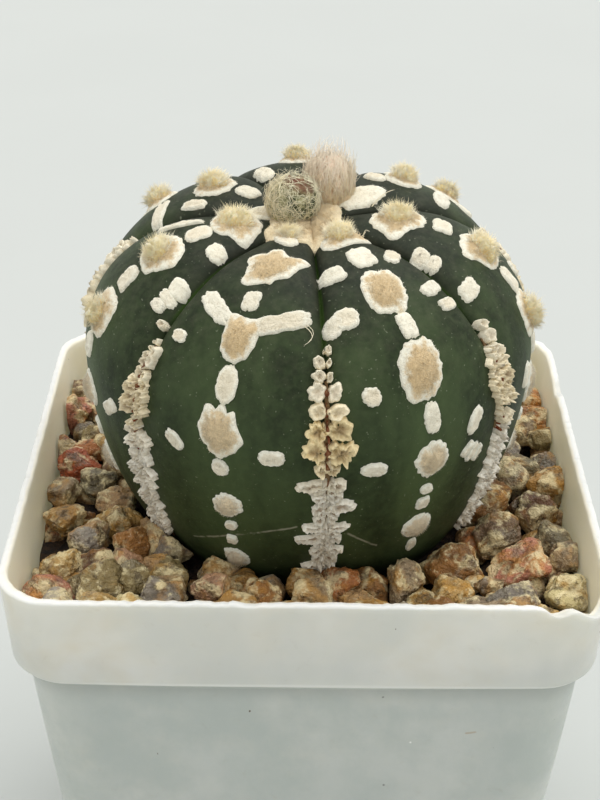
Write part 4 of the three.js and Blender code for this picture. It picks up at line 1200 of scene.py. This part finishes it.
class Tree:
    """A tree of shader nodes. Its methods put nodes there and give the socket of the result. An input
    takes a number, a colour or another node's socket."""

    def __init__(self, tree):
        self.tree = tree

    @functools.cached_property
    def where(self):
        """The place that noises are read at: object coordinates in millimetres."""
        return self.place()

    def put(self, kind, inputs=None, **settings):
        """A new node of that kind."""
        made = self.tree.nodes.new("ShaderNode" + kind)
        for name, value in settings.items():
            setattr(made, name, value)
        for name, value in (inputs or {}).items():
            socket = made.inputs[name]
            if isinstance(value, bpy.types.NodeSocket):
                self.tree.links.new(value, socket)
            else:
                socket.default_value = (*value[:3], 1.0) if socket.type == "RGBA" else value
        return made

    def give(self, **results):
        """Makes each result an output of this node group."""
        for label, result in results.items():
            kind = "NodeSocketVector" if result.type == "VECTOR" else "NodeSocketFloat"
            self.tree.interface.new_socket(name=label, in_out="OUTPUT", socket_type=kind)
        out = self.tree.nodes.new("NodeGroupOutput").inputs
        for label, result in results.items():
            self.tree.links.new(result, out[label])
        return self.tree

    def maths(self, operation, a, b=0.0, clamp=False):
        """An operation on two numbers."""
        return self.put("Math", {0: a, 1: b}, operation=operation, use_clamp=clamp).outputs[0]

    def times(self, a, b):
        """Two numbers multiplied."""
        return self.maths("MULTIPLY", a, b)

    def vector(self, operation, a, b, output=0):
        """An operation on two vectors, or on a vector and the number that scales it."""
        second = "Scale" if operation == "SCALE" else 1
        return self.put("VectorMath", {0: a, second: b}, operation=operation).outputs[output]

    def ease(self, value, low, high, start=0.0, end=1.0):
        """A value brought smoothly from the range low to high into start to end."""
        inputs = {"Value": value, "From Min": low, "From Max": high, "To Min": start, "To Max": end}
        return self.put("MapRange", inputs, interpolation_type="SMOOTHSTEP").outputs["Result"]

    def layer(self, name, output="Fac"):
        """A value that the mesh carries."""
        return self.put("Attribute", attribute_name=name).outputs[output]

    def place(self, scale=(1, 1, 1), offset=None):
        """Object coordinates in millimetres, stretched by a scale and shifted by an offset."""
        inputs = {"Vector": self.put("TexCoord").outputs["Object"], "Scale": tuple(s / MM for s in scale)}
        mapped = self.put("Mapping", inputs).outputs["Vector"]
        return mapped if offset is None else self.vector("ADD", mapped, offset)

    def noise(self, scale, detail=3.0, roughness=0.55, distortion=0.0, at=None):
        """Noise, read where all is or at a place of its own."""
        inputs = {"Scale": scale, "Detail": detail, "Roughness": roughness, "Distortion": distortion}
        return self.put("TexNoise", {"Vector": self.where if at is None else at, **inputs}).outputs["Fac"]

    def effect(self, name, **inputs):
        """The outputs of one of the shared effects. Its group is built the first time it is wanted."""
        group = bpy.data.node_groups.get(name) or GROUPS[name]()
        return self.put("Group", {"Vector": self.where, **inputs}, node_tree=group).outputs

    def mottle(self, scale, low, high, detail=3.0, **more):
        """The mask of soft patches."""
        return self.effect("Mottle", Scale=scale, Low=low, High=high, Detail=detail, **more)["Mask"]

    def grain(self, scale, depth, strength):
        """The normal and the mask of a fine uneven surface."""
        return self.effect("Grain", Scale=scale, Depth=depth, Strength=strength)


def new_group(name, **inputs):
    """An empty node group, and its inputs, each given with its default, or with None for a vector."""
    tree = bpy.data.node_groups.new(name, "ShaderNodeTree")
    for label, default in inputs.items():
        kind = "NodeSocketVector" if default is None else "NodeSocketFloat"
        socket = tree.interface.new_socket(name=label, in_out="INPUT", socket_type=kind)
        if default is not None:
            socket.default_value = default
    made, given = Tree(tree), tree.nodes.new("NodeGroupInput").outputs
    made.where = given["Vector"]
    return made, given


def mottle_group():
    """Soft patches: layered noise, brought from the range Low to High into 0 to 1."""
    made, given = new_group("Mottle", Vector=None, Scale=1.0, Low=0.4, High=0.6, Detail=3.0)
    patches = made.noise(given["Scale"], given["Detail"], 0.6, 0.4)
    return made.give(Mask=made.ease(patches, given["Low"], given["High"]))


def grain_group():
    """A fine uneven surface: noise as height, two sizes together, turned into a normal and a mask."""
    made, given = new_group("Grain", Vector=None, Scale=3.0, Depth=0.1, Strength=0.5, Normal=None)
    coarse = made.noise(given["Scale"], 4.0, 0.62)
    fine = made.noise(made.times(given["Scale"], 3.7), 2.0)
    both = made.maths("ADD", made.times(coarse, 0.7), made.times(fine, 0.3))
    inputs = {"Strength": given["Strength"], "Distance": made.times(given["Depth"], MM)}
    bump = made.put("Bump", {**inputs, "Height": both, "Normal": given["Normal"]})
    return made.give(Normal=bump.outputs["Normal"], Mask=both)


def dust_group():
    """Dust that settles where the surface faces up, in patches."""
    made, given = new_group("Dust", Vector=None, Amount=0.3, Scale=0.6)
    up = made.put("SeparateXYZ", {0: made.put("NewGeometry").outputs["Normal"]}).outputs["Z"]
    patches = made.ease(made.noise(given["Scale"], 5.0, 0.7), 0.38, 0.72)
    return made.give(Mask=made.times(made.times(made.ease(up, -0.1, 0.9), patches), given["Amount"]))


def scratch_group():
    """A line between two points: the mask falls off with the distance from the segment, which wanders and
    has gaps, both by noise."""
    made, given = new_group("Scratch", Vector=None, Start=None, End=None, Width=0.1, Wander=0.3, Gaps=1.0)
    shift = made.put("TexNoise", {"Vector": made.where, "Scale": 0.9, "Detail": 2.0}).outputs["Color"]
    shift = made.vector("SCALE", made.vector("SUBTRACT", shift, (0.5, 0.5, 0.5)), given["Wander"])
    reach = made.vector("SUBTRACT", given["End"], given["Start"])
    away = made.vector("SUBTRACT", made.vector("ADD", made.where, shift), given["Start"])
    along, whole = (made.vector("DOT_PRODUCT", way, reach, "Value") for way in (away, reach))
    nearest = made.vector("SCALE", reach, made.maths("DIVIDE", along, whole, clamp=True))
    line = made.ease(made.vector("DISTANCE", away, nearest, "Value"), given["Width"], 0.0)
    gap = made.maths("SUBTRACT", 1.0, made.ease(made.noise(0.8, 4.0), 0.35, 0.55))
    return made.give(Mask=made.times(line, made.maths("SUBTRACT", 1.0, made.times(given["Gaps"], gap))))


GROUPS = {"Mottle": mottle_group, "Grain": grain_group, "Dust": dust_group, "Scratch": scratch_group}


class Material(Tree):
    """A material in the making. Tones are laid one over another on its ground, which is the tint that the
    mesh carries unless one is given."""

    def __init__(self, name, ground=None):
        self.material = bpy.data.materials.new(name)
        self.material.use_nodes = True
        super().__init__(self.material.node_tree)
        self.tree.nodes.clear()
        self.colour = self.layer("tint", "Color") if ground is None else ground

    def lay(self, mask, tone, share=None):
        """Mixes in a tone by a mask, at a share of its strength."""
        factor = mask if share is None else self.times(mask, share)
        inputs = {0: factor, 6: self.colour, 7: tone}
        self.colour = self.put("Mix", inputs, data_type="RGBA").outputs[2]

    def uneven(self, name, reach, *noise):
        """A value that the mesh carries, made uneven by noise of that reach."""
        swing = self.times(self.maths("SUBTRACT", self.noise(*noise), 0.5), reach)
        return self.maths("ADD", self.layer(name), swing)

    def finish(self, **inputs):
        """Joins the colour to a shader and that to the output, and lays the nodes out in columns, each by
        its longest way to the output."""
        inputs = {name.replace("_", " "): value for name, value in inputs.items()}
        shader = self.put("BsdfPrincipled", {"Base Color": self.colour, **inputs})
        depth = {self.put("OutputMaterial", {"Surface": shader.outputs[0]}): 0}
        for _ in range(len(self.tree.nodes)):
            for link in self.tree.links:
                if link.to_node in depth:
                    depth[link.from_node] = max(depth.get(link.from_node, 0), depth[link.to_node] + 1)
        rows = Counter()
        for node in self.tree.nodes:
            column = depth.get(node, 0)
            rows[column] += 1
            node.location = (-260 * column, -220 * rows[column])
        return self.material


def plastic_material(settings):
    """Thin white plastic: faint blotches, greyer in patches below the lip as painted shade, with a painted shadow
    just under the lip, brighter and warmer inside as painted light through the wall, a painted highlight on the
    lip's lower edge and a paler rim top, a little soil dust, fine specks and a satin gloss."""
    m, plastic, top = Material("PotPlastic", settings.plastic), np.array(settings.plastic), POT["height"]
    m.lay(m.mottle(0.1, 0.38, 0.72), plastic * (0.94, 0.905, 0.85))
    haze = m.noise(0.075, at=m.place(offset=(40, 0, 0)))
    m.lay(m.ease(haze, 0.35, 0.68), plastic * (0.87, 0.89, 0.9))
    level = m.put("SeparateXYZ", {0: m.where}).outputs["Z"]
    below = m.ease(level, LEDGE_Z + 0.2, LEDGE_Z - 0.2)
    # Painted shade: the wall below the lip is greyed, in patches.
    painted_shade_patches = m.ease(m.noise(0.1, 5.0, 0.6), 0.32, 0.66, 0.5, 1.0)
    m.lay(m.times(below, painted_shade_patches), plastic * (0.68, 0.74, 0.75))
    # Painted shadow: a darker band just under the lip.
    m.lay(m.times(below, m.ease(level, LEDGE_Z - 4.2, LEDGE_Z - 0.6)), plastic * 0.42, 0.34)
    # Painted highlight along the lip's lower edge; the rim's top edge is paler as well.
    lip_edge_highlight = m.times(m.ease(level, LEDGE_Z + 0.75, LEDGE_Z + 0.3), m.ease(level, LEDGE_Z, LEDGE_Z + 0.15))
    m.lay(m.maths("MAXIMUM", lip_edge_highlight, m.ease(level, top - 0.6, top - 0.2)), linear(240, 240, 234), 0.55)
    # Painted light: the inside is brighter and warmer, as light shines through the thin wall.
    m.lay(m.layer("within"), linear(250, 240, 214), 0.85)
    m.lay(m.ease(m.noise(1.15, 1.0), 0.81, 0.84), linear(96, 84, 66))
    for start, end, half_width, tone in POT_SPOTS:
        spot = m.effect("Scratch", Start=start, End=end, Width=half_width, Wander=0.3, Gaps=0.0)["Mask"]
        m.lay(spot, linear(*tone), 0.85)
    m.lay(m.mottle(0.5, 0.6, 0.85, 6.0), linear(150, 132, 104), 0.18)
    grain = m.grain(1.6, 0.05, 0.35)
    return m.finish(
        Roughness=m.ease(grain["Mask"], 0.3, 0.7, 0.34, 0.5), Normal=grain["Normal"], Subsurface_Weight=0.6,
        Subsurface_Radius=(0.004, 0.0038, 0.0032), Subsurface_Scale=1.0, IOR=1.49,
    )


def skin_material(settings):
    """The cactus skin: dark green with lighter mottling, greyer and purplish beside the upper grooves,
    bright green down in the crease, darker towards the crown as painted shade, pale fine flecks, scars and a satin
    bloom."""
    m, mottling = Material("CactusSkin", settings.skin), np.array(settings.mottling)
    fall, away = m.layer("fall"), m.layer("away")
    m.lay(m.mottle(0.16, 0.36, 0.68, Vector=m.place((1, 1, 0.3))), mottling)
    m.lay(m.mottle(0.9, 0.35, 0.7, 5.0), mottling * 1.5, 0.3)
    m.lay(m.times(m.ease(away, 0.38, 0.02), m.ease(fall, 62.0, 22.0)), linear(46, 48, 38), 0.7)
    # Painted shade: the skin darkens towards the crown.
    m.lay(m.ease(fall, 56.0, 22.0, 0.0, 0.72), linear(20, 26, 16))
    m.lay(m.times(m.ease(away, 0.45, 1.0), m.ease(fall, 50.0, 85.0)), linear(86, 104, 66), 0.35)
    m.lay(m.times(m.ease(away, 0.045, 0.005), m.ease(fall, 58.0, 48.0)), linear(72, 102, 40), 0.65)
    m.lay(m.ease(m.noise(2.6, 1.0), 0.7, 0.78), linear(150, 156, 132), 0.35)
    scars = [
        m.effect("Scratch", Start=start, End=end, Width=SCAR_HALF_WIDTH)["Mask"]
        for line in SCARS
        for start, end in itertools.pairwise(leaning(skin(*np.array(line, float).T)).tolist())
    ]
    m.lay(functools.reduce(lambda a, b: m.maths("MAXIMUM", a, b), scars), linear(176, 174, 156), 0.6)
    m.lay(m.effect("Dust", Amount=0.05, Scale=0.7)["Mask"], linear(168, 160, 136))
    grain = m.grain(2.4, 0.06, 0.4)
    rough = m.ease(grain["Mask"], 0.3, 0.75, 0.48, 0.64)
    return m.finish(Roughness=rough, Normal=grain["Normal"], IOR=1.45, Specular_IOR_Level=0.18)


def felt_material():
    """Felt: cream to grey with an unevenly tan middle, with darker patches of painted shade for the pits between
    its fibres.
    """
    m = Material("CreamFelt")
    middle = m.ease(m.uneven("core", 1.1, 0.8, 4.0, 0.65), 0.06, 0.4)
    m.lay(m.times(middle, m.layer("age")), linear(222, 194, 146))
    # Painted shade: darker patches for the pits between the fibres.
    m.lay(m.ease(m.noise(2.2, 3.0, 0.7), 0.46, 0.3), linear(184, 162, 124), 0.38)
    return m.finish(
        Roughness=0.95, Normal=m.grain(2.6, 0.4, 1.0)["Normal"], Specular_IOR_Level=0.15, Sheen_Weight=0.25,
        Sheen_Roughness=0.6,
    )


def cushion_material():
    """The wool of a tuft's core: tan round its foot as painted shade, and where it is matted, cream on top, in fine
    locks.
    """
    # Painted shade: the tan ground shows round the dome's foot; the cream tint covers it towards the top.
    m = Material("WoolCushion", linear(250, 216, 150))
    m.lay(m.ease(m.uneven("core", 1.3, 0.9, 4.0, 0.6), 0.02, 0.62), m.layer("tint", "Color"))
    m.lay(m.ease(m.noise(2.8, 3.0, 0.7), 0.5, 0.3), linear(238, 198, 134), 0.3)
    return m.finish(
        Roughness=0.95, Normal=m.grain(3.4, 0.5, 1.0)["Normal"], Specular_IOR_Level=0.1, Sheen_Weight=0.3,
        Sheen_Roughness=0.6, Subsurface_Weight=0.5, Subsurface_Radius=(0.002, 0.0017, 0.0012), Subsurface_Scale=1.0,
    )


def cork_material():
    """The corky bands: the tooth's own tint, darker and browner at its root, partly its own tan and partly painted
    shade, with a crumbly grain.
    """
    m = Material("CorkyTeeth")
    m.lay(m.mottle(1.9, 0.4, 0.66, 5.0), linear(190, 164, 120), 0.3)
    # Partly painted shade: each tooth darker and browner towards its middle, partly its own tan.
    m.lay(m.times(m.ease(m.layer("core"), 0.3, 0.85), m.layer("age")), linear(134, 104, 70), 0.72)
    return m.finish(Roughness=0.9, Normal=m.grain(3.2, 0.25, 0.9)["Normal"], Specular_IOR_Level=0.2)


def wool_material(name, paler=0.6):
    """Hairs: each hair's own tint, paler towards the tip."""
    m = Material(name)
    m.lay(m.maths("ADD", 0.1, m.times(m.layer("along"), paler)), linear(255, 246, 220))
    m.lay(m.mottle(1.4, 0.3, 0.7), linear(240, 204, 146), 0.1)
    return m.finish(Roughness=0.9, Specular_IOR_Level=0.1)


def bud_material(name, scale, gap, cap, open_patch):
    """The scales of a bud: dark with painted shade in the gaps between them, with dark slits of painted shade
    where few hairs cover them, and with a warmer cap."""
    m = Material(name, scale)
    m.lay(m.mottle(1.1, 0.35, 0.65), scale * 0.55, 0.4)
    # Painted shade in the gaps between the scales.
    m.lay(m.ease(m.layer("sunk"), 0.35, 0.85), gap)
    # Painted shade: dark slits between the scales where few hairs cover them.
    slits = m.times(m.ease(m.noise(0.75, 3.0, 0.6), 0.44, 0.56), open_patch)
    m.lay(m.times(m.ease(m.layer("bare"), 0.55, 0.85), slits), linear(40, 52, 28))
    streaks = m.ease(m.noise(1.0, 3.0, 0.7, at=m.place((0.7, 0.7, 2.2))), 0.35, 0.6, 0.5, 1.0)
    m.lay(m.times(m.ease(m.layer("cap"), 0.58, 0.94), streaks), cap)
    return m.finish(Roughness=0.75, Normal=m.grain(3.0, 0.2, 0.8)["Normal"], Specular_IOR_Level=0.3)


def stone_material():
    """Broken granite: the stone's own tone with ochre stains, cream feldspar, grey quartz that shines, and
    painted shade in its pits."""
    m = Material("GraniteGrit")
    own = m.layer("seed")
    m.where = m.place(offset=m.put("CombineXYZ", {0: own, 1: own, 2: own}).outputs[0])
    quartz = m.ease(m.noise(0.26, 5.0, 0.6), 0.44, 0.36)
    m.lay(m.mottle(0.2, 0.46, 0.62, 4.0), linear(206, 150, 58), 0.6)
    m.lay(quartz, linear(146, 138, 118), 0.5)
    m.lay(m.mottle(0.4, 0.47, 0.6, 6.0), linear(250, 234, 184), 0.72)
    m.lay(m.ease(m.noise(1.9, 3.0, 0.7), 0.6, 0.7), linear(252, 242, 214), 0.3)
    m.lay(m.ease(m.noise(0.55, 6.0, 0.7), 0.46, 0.36), linear(62, 44, 20), 0.66)
    # Painted shade in the stone's pits.
    m.lay(m.layer("pit_shade"), linear(46, 34, 18), 0.62)
    rough = m.ease(quartz, 0.0, 1.0, 0.46, 0.2)
    return m.finish(Roughness=rough, Normal=m.grain(0.85, 1.3, 0.9)["Normal"], Specular_IOR_Level=0.5)


def earth_material(name, dark, light):
    """Damp potting mix: dark crumbs with paler bits. The bed under the grit takes darker tones, as painted shade.
    """
    m = Material(name, dark)
    m.lay(m.mottle(0.9, 0.4, 0.7, 6.0), light)
    return m.finish(Roughness=0.95, Normal=m.grain(1.2, 1.2, 1.0)["Normal"])


def floor_material(settings):
    """A pale matt floor with the least variation of paint."""
    m = Material("PaleFloor", settings.floor)
    m.lay(m.mottle(0.01, 0.3, 0.7), np.array(settings.floor) * 0.985)
    return m.finish(Roughness=0.7, Normal=m.grain(0.8, 0.03, 0.2)["Normal"], Specular_IOR_Level=0.3)


# Settings

# The stage, in metres: the floor's reach and corners, the lamp's tilt, the sky's colour and the camera's
# sensor, in millimetres, and clipping.
FLOOR_REACH = 4.0
FLOOR_CORNERS = [(-1, -1), (1, -1), (1, 1), (-1, 1)]
LAMP_TILT = (-14, 12)
SKY_COLOUR = (1, 0.995, 0.98, 1)
SENSOR_WIDTH = 36
CAMERA_CLIP = (0.01, 20)


def colour_setting(name, description, default):
    """A property that holds a colour."""
    return bpy.props.FloatVectorProperty(
        name=name, description=description, default=tuple(default), size=3, min=0, max=1, subtype="COLOR"
    )


def angle_setting(name, description, degrees):
    """A property that holds an angle."""
    return bpy.props.FloatProperty(
        name=name, description=description, default=math.radians(degrees), subtype="ANGLE", unit="ROTATION"
    )


class PotSettings(bpy.types.PropertyGroup):
    """The nursery pot"""

    plastic: colour_setting("Plastic", "Colour of the pot's plastic", linear(219, 219, 211))
    unevenness: bpy.props.FloatProperty(
        name="Rim unevenness", description="How far the rim's edge wavers", default=0.3 * MM, min=0, max=MM,
        unit="LENGTH", subtype="DISTANCE", precision=5,
    )


class PlantSettings(bpy.types.PropertyGroup):
    """The cactus"""

    skin: colour_setting("Skin", "Darkest green of the skin", linear(34, 44, 25))
    mottling: colour_setting("Mottling", "Lighter green of the skin's patches", linear(56, 69, 42))
    tuft_hairs: bpy.props.IntProperty(
        name="Hairs in a tuft", description="Number of hairs on each woolly tuft", default=620, min=50, max=1200
    )


class StageSettings(bpy.types.PropertyGroup):
    """The floor, the light and the camera"""

    floor: colour_setting("Floor", "Colour of the floor", (0.515, 0.536, 0.515))
    sky: bpy.props.FloatProperty(
        name="Room light", description="Strength of the even light from all round", default=0.84, min=0
    )
    lamp: bpy.props.FloatProperty(
        name="Overhead light", description="Strength of the broad light from above", default=1.95, min=0
    )
    lamp_spread: angle_setting("Softness", "Angle that the overhead light covers", 75)
    camera_place: bpy.props.FloatVectorProperty(
        name="Camera", description="Where the camera stands", default=(-0.0006, -0.2122, 0.19), size=3,
        subtype="TRANSLATION", unit="LENGTH",
    )
    camera_pitch: angle_setting("Pitch", "How far the camera looks down", 27.9)
    camera_yaw: angle_setting("Yaw", "How far the camera looks aside", -0.09)
    camera_roll: angle_setting("Roll", "How far the camera is turned about its view", 0.58)
    camera_lens: bpy.props.FloatProperty(
        name="Lens", description="Focal length for a 36 mm sensor", default=80.1, min=1, unit="CAMERA"
    )


# Operators

class CACTUS_OT_mould_pot(bpy.types.Operator):
    """Make the pot, with its rounded lip, uneven rim and drain holes"""

    bl_idname = "cactus.mould_pot"
    bl_label = "Mould Pot"

    def execute(self, context):
        settings = context.scene.cactus_pot
        material = plastic_material(settings)
        pot = add_piece("nursery_pot", pot_surface(settings.unevenness / MM), material, ["pot"])
        cutter_mesh = add_piece("drain_cutter", drain_cutter(), material)
        cut = pot.modifiers.new("drain_holes", "BOOLEAN")
        cut.object, cut.operation, cut.solver = cutter_mesh, "DIFFERENCE", "EXACT"
        context.view_layer.update()
        holed = bpy.data.meshes.new_from_object(pot.evaluated_get(context.evaluated_depsgraph_get()))
        pot.modifiers.clear()
        pot.data = holed
        bpy.data.objects.remove(cutter_mesh)
        return {"FINISHED"}


class CACTUS_OT_fill_soil(bpy.types.Operator):
    """Give the potting mix its finish"""

    bl_idname = "cactus.fill_soil"
    bl_label = "Fill Soil"

    def execute(self, context):
        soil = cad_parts["soil"]
        soil.data.materials.clear()
        soil.data.materials.append(earth_material("PottingMix", linear(44, 32, 24), linear(96, 74, 54)))
        return {"FINISHED"}


class CACTUS_OT_lay_grit(bpy.types.Operator):
    """Lay the top dressing: stones of broken granite over a bed dark as painted shade"""

    bl_idname = "cactus.lay_grit"
    bl_label = "Lay Grit"

    def execute(self, context):
        granite = stone_material()
        front, rest = grit_surfaces()
        add_piece("front_stones", front, granite, ["gravel"])
        add_piece("other_stones", rest, granite, ["gravel"])
        # The bed is darker than the potting mix: painted shade in the gaps between the stones.
        bed = earth_material("GritBed", linear(26, 18, 12), linear(72, 52, 34))
        add_piece("grit_bed", bed_surface(), bed, ["gravel"])
        return {"FINISHED"}


class CACTUS_OT_grow_body(bpy.types.Operator):
    """Grow the ribbed green body"""

    bl_idname = "cactus.grow_body"
    bl_label = "Grow Body"

    def execute(self, context):
        add_piece("ribbed_body", body_surface(), skin_material(context.scene.cactus_plant), ["cactus"])
        return {"FINISHED"}


class CACTUS_OT_lay_felt(bpy.types.Operator):
    """Lay the felted pads and flecks on the ribs, with their nap"""

    bl_idname = "cactus.lay_felt"
    bl_label = "Lay Felt"

    def execute(self, context):
        pads, flecks = felt_marks()
        nap = wool_material("FeltNap")
        felt = join([button(mark) for mark in pads + flecks])
        add_piece("felt_marks", felt, felt_material(), ["cactus"])
        coats = [nap_surface(pads[:-1], 26, 0.8, 0.26, 0.55, 44), nap_surface(pads[-1:], 30, 0.5, 0.4, 0.9, 46)]
        add_piece("pad_nap", join([*coats, stray_surface()]), nap, ["cactus"])
        add_piece("fleck_nap", nap_surface(flecks, 20, 0.5, 0.1, 0.2, 45), nap, ["cactus"])
        return {"FINISHED"}


class CACTUS_OT_grow_bands(bpy.types.Operator):
    """Grow the corky toothed bands in the grooves"""

    bl_idname = "cactus.grow_bands"
    bl_label = "Grow Bands"

    def execute(self, context):
        add_piece("corky_bands", band_surface(), cork_material(), ["cactus"])
        return {"FINISHED"}


class CACTUS_OT_grow_tufts(bpy.types.Operator):
    """Grow the woolly tufts near the crown"""

    bl_idname = "cactus.grow_tufts"
    bl_label = "Grow Tufts"

    def execute(self, context):
        domes, coats = tuft_surfaces(context.scene.cactus_plant.tuft_hairs)
        add_piece("tuft_domes", domes, cushion_material(), ["cactus"])
        add_piece("tuft_hairs", coats, wool_material("TuftWool", 0.3), ["cactus"])
        return {"FINISHED"}


class CACTUS_OT_grow_buds(bpy.types.Operator):
    """Grow the two woolly buds at the crown"""

    bl_idname = "cactus.grow_buds"
    bl_label = "Grow Buds"

    def execute(self, context):
        front, back = BUDS["bud_front"], BUDS["bud_back"]
        # Tones of each bud's scales, of the painted shade in their gaps, and of its cap.
        tones = linear(176, 170, 128), linear(128, 130, 90), linear(116, 74, 56)
        green = bud_material("FrontBudScales", *tones, 0.8)
        tones = linear(255, 226, 190), linear(244, 206, 164), linear(255, 226, 200)
        pink = bud_material("BackBudScales", *tones, 0.0)
        add_piece("front_bud_scales", bud_surface(front, 3), green, ["bud_front"])
        add_piece("back_bud_scales", bud_surface(back, 4), pink, ["bud_back"])
        coat = bud_coat(front, COATS["bud_front"])
        add_piece("front_bud_hairs", coat, wool_material("FrontBudWool"), ["bud_front"])
        coat = bud_coat(back, COATS["bud_back"])
        add_piece("back_bud_hairs", coat, wool_material("BackBudWool"), ["bud_back"])
        return {"FINISHED"}


def camera_matrix(settings):
    """The camera's turn: yaw to the side, pitch down and roll about the view, as three axes."""
    p, y, roll = settings.camera_pitch, settings.camera_yaw, settings.camera_roll
    ahead = Vector((math.sin(y) * math.cos(p), math.cos(y) * math.cos(p), -math.sin(p)))
    level = Vector((math.cos(y), -math.sin(y), 0))
    over = level.cross(ahead)
    right = math.cos(roll) * level + math.sin(roll) * over
    up = -math.sin(roll) * level + math.cos(roll) * over
    turn = Matrix((right, up, -ahead)).transposed().to_4x4()
    return Matrix.Translation(settings.camera_place) @ turn


class CACTUS_OT_set_stage(bpy.types.Operator):
    """Set the pale floor, the soft light and the camera"""

    bl_idname = "cactus.set_stage"
    bl_label = "Set Stage"

    def execute(self, context):
        scene = context.scene
        settings = scene.cactus_stage
        mesh = bpy.data.meshes.new("floor")
        mesh.from_pydata([(FLOOR_REACH * x, FLOOR_REACH * y, 0) for x, y in FLOOR_CORNERS], [], [(0, 1, 2, 3)])
        mesh.materials.append(floor_material(settings))
        floor = bpy.data.objects.new("floor", mesh)
        scene.collection.objects.link(floor)
        floor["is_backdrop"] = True
        sun = bpy.data.lights.new("overhead_light", "SUN")
        sun.energy, sun.angle = settings.lamp, settings.lamp_spread
        lamp = bpy.data.objects.new("overhead_light", sun)
        lamp.rotation_euler = (*map(math.radians, LAMP_TILT), 0)
        scene.collection.objects.link(lamp)
        world = bpy.data.worlds.new("soft_room")
        world.use_nodes = True
        back = world.node_tree.nodes["Background"]
        back.inputs["Color"].default_value = SKY_COLOUR
        back.inputs["Strength"].default_value = settings.sky
        scene.world = world
        lens = bpy.data.cameras.new("front_view")
        lens.lens, lens.sensor_width = settings.camera_lens, SENSOR_WIDTH
        lens.clip_start, lens.clip_end = CAMERA_CLIP
        camera = bpy.data.objects.new("front_view", lens)
        camera.matrix_world = camera_matrix(settings)
        scene.collection.objects.link(camera)
        scene.camera = camera
        scene.view_settings.view_transform = "Standard"
        return {"FINISHED"}


class CACTUS_PT_parts(bpy.types.Panel):
    """The steps and settings of the potted cactus"""

    bl_label = "Potted Cactus"
    bl_idname = "CACTUS_PT_parts"
    bl_space_type = "VIEW_3D"
    bl_region_type = "UI"
    bl_category = "Cactus"

    def draw(self, context):
        for step in STEPS:
            self.layout.operator(step.bl_idname)
        for group in ("cactus_pot", "cactus_plant", "cactus_stage"):
            settings = getattr(context.scene, group)
            box = self.layout.box()
            for name in settings.bl_rna.properties.keys():
                if name not in ("rna_type", "name"):
                    box.prop(settings, name)


STEPS = [
    CACTUS_OT_mould_pot,
    CACTUS_OT_fill_soil,
    CACTUS_OT_lay_grit,
    CACTUS_OT_grow_body,
    CACTUS_OT_lay_felt,
    CACTUS_OT_grow_bands,
    CACTUS_OT_grow_tufts,
    CACTUS_OT_grow_buds,
    CACTUS_OT_set_stage,
]
CLASSES = [PotSettings, PlantSettings, StageSettings, *STEPS, CACTUS_PT_parts]


def register():
    """Makes the classes known to Blender, and gives the scene its settings."""
    for made in CLASSES:
        bpy.utils.register_class(made)
    bpy.types.Scene.cactus_pot = bpy.props.PointerProperty(type=PotSettings)
    bpy.types.Scene.cactus_plant = bpy.props.PointerProperty(type=PlantSettings)
    bpy.types.Scene.cactus_stage = bpy.props.PointerProperty(type=StageSettings)


def unregister():
    """Takes back what register does."""
    del bpy.types.Scene.cactus_pot, bpy.types.Scene.cactus_plant, bpy.types.Scene.cactus_stage
    for made in reversed(CLASSES):
        bpy.utils.unregister_class(made)


def main():
    """Registers the add-on, makes every piece in order, and works out the solids' box and the dressed part's."""
    register()
    bpy.ops.cactus.mould_pot()
    bpy.ops.cactus.fill_soil()
    bpy.ops.cactus.lay_grit()
    bpy.ops.cactus.grow_body()
    bpy.ops.cactus.lay_felt()
    bpy.ops.cactus.grow_bands()
    bpy.ops.cactus.grow_tufts()
    bpy.ops.cactus.grow_buds()
    bpy.ops.cactus.set_stage()
    boxes = {"cad": CAD_BOX, "visual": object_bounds()}
    {name: [list(corner) for corner in box] for name, box in boxes.items()}


if __name__ == "__main__":
    main()
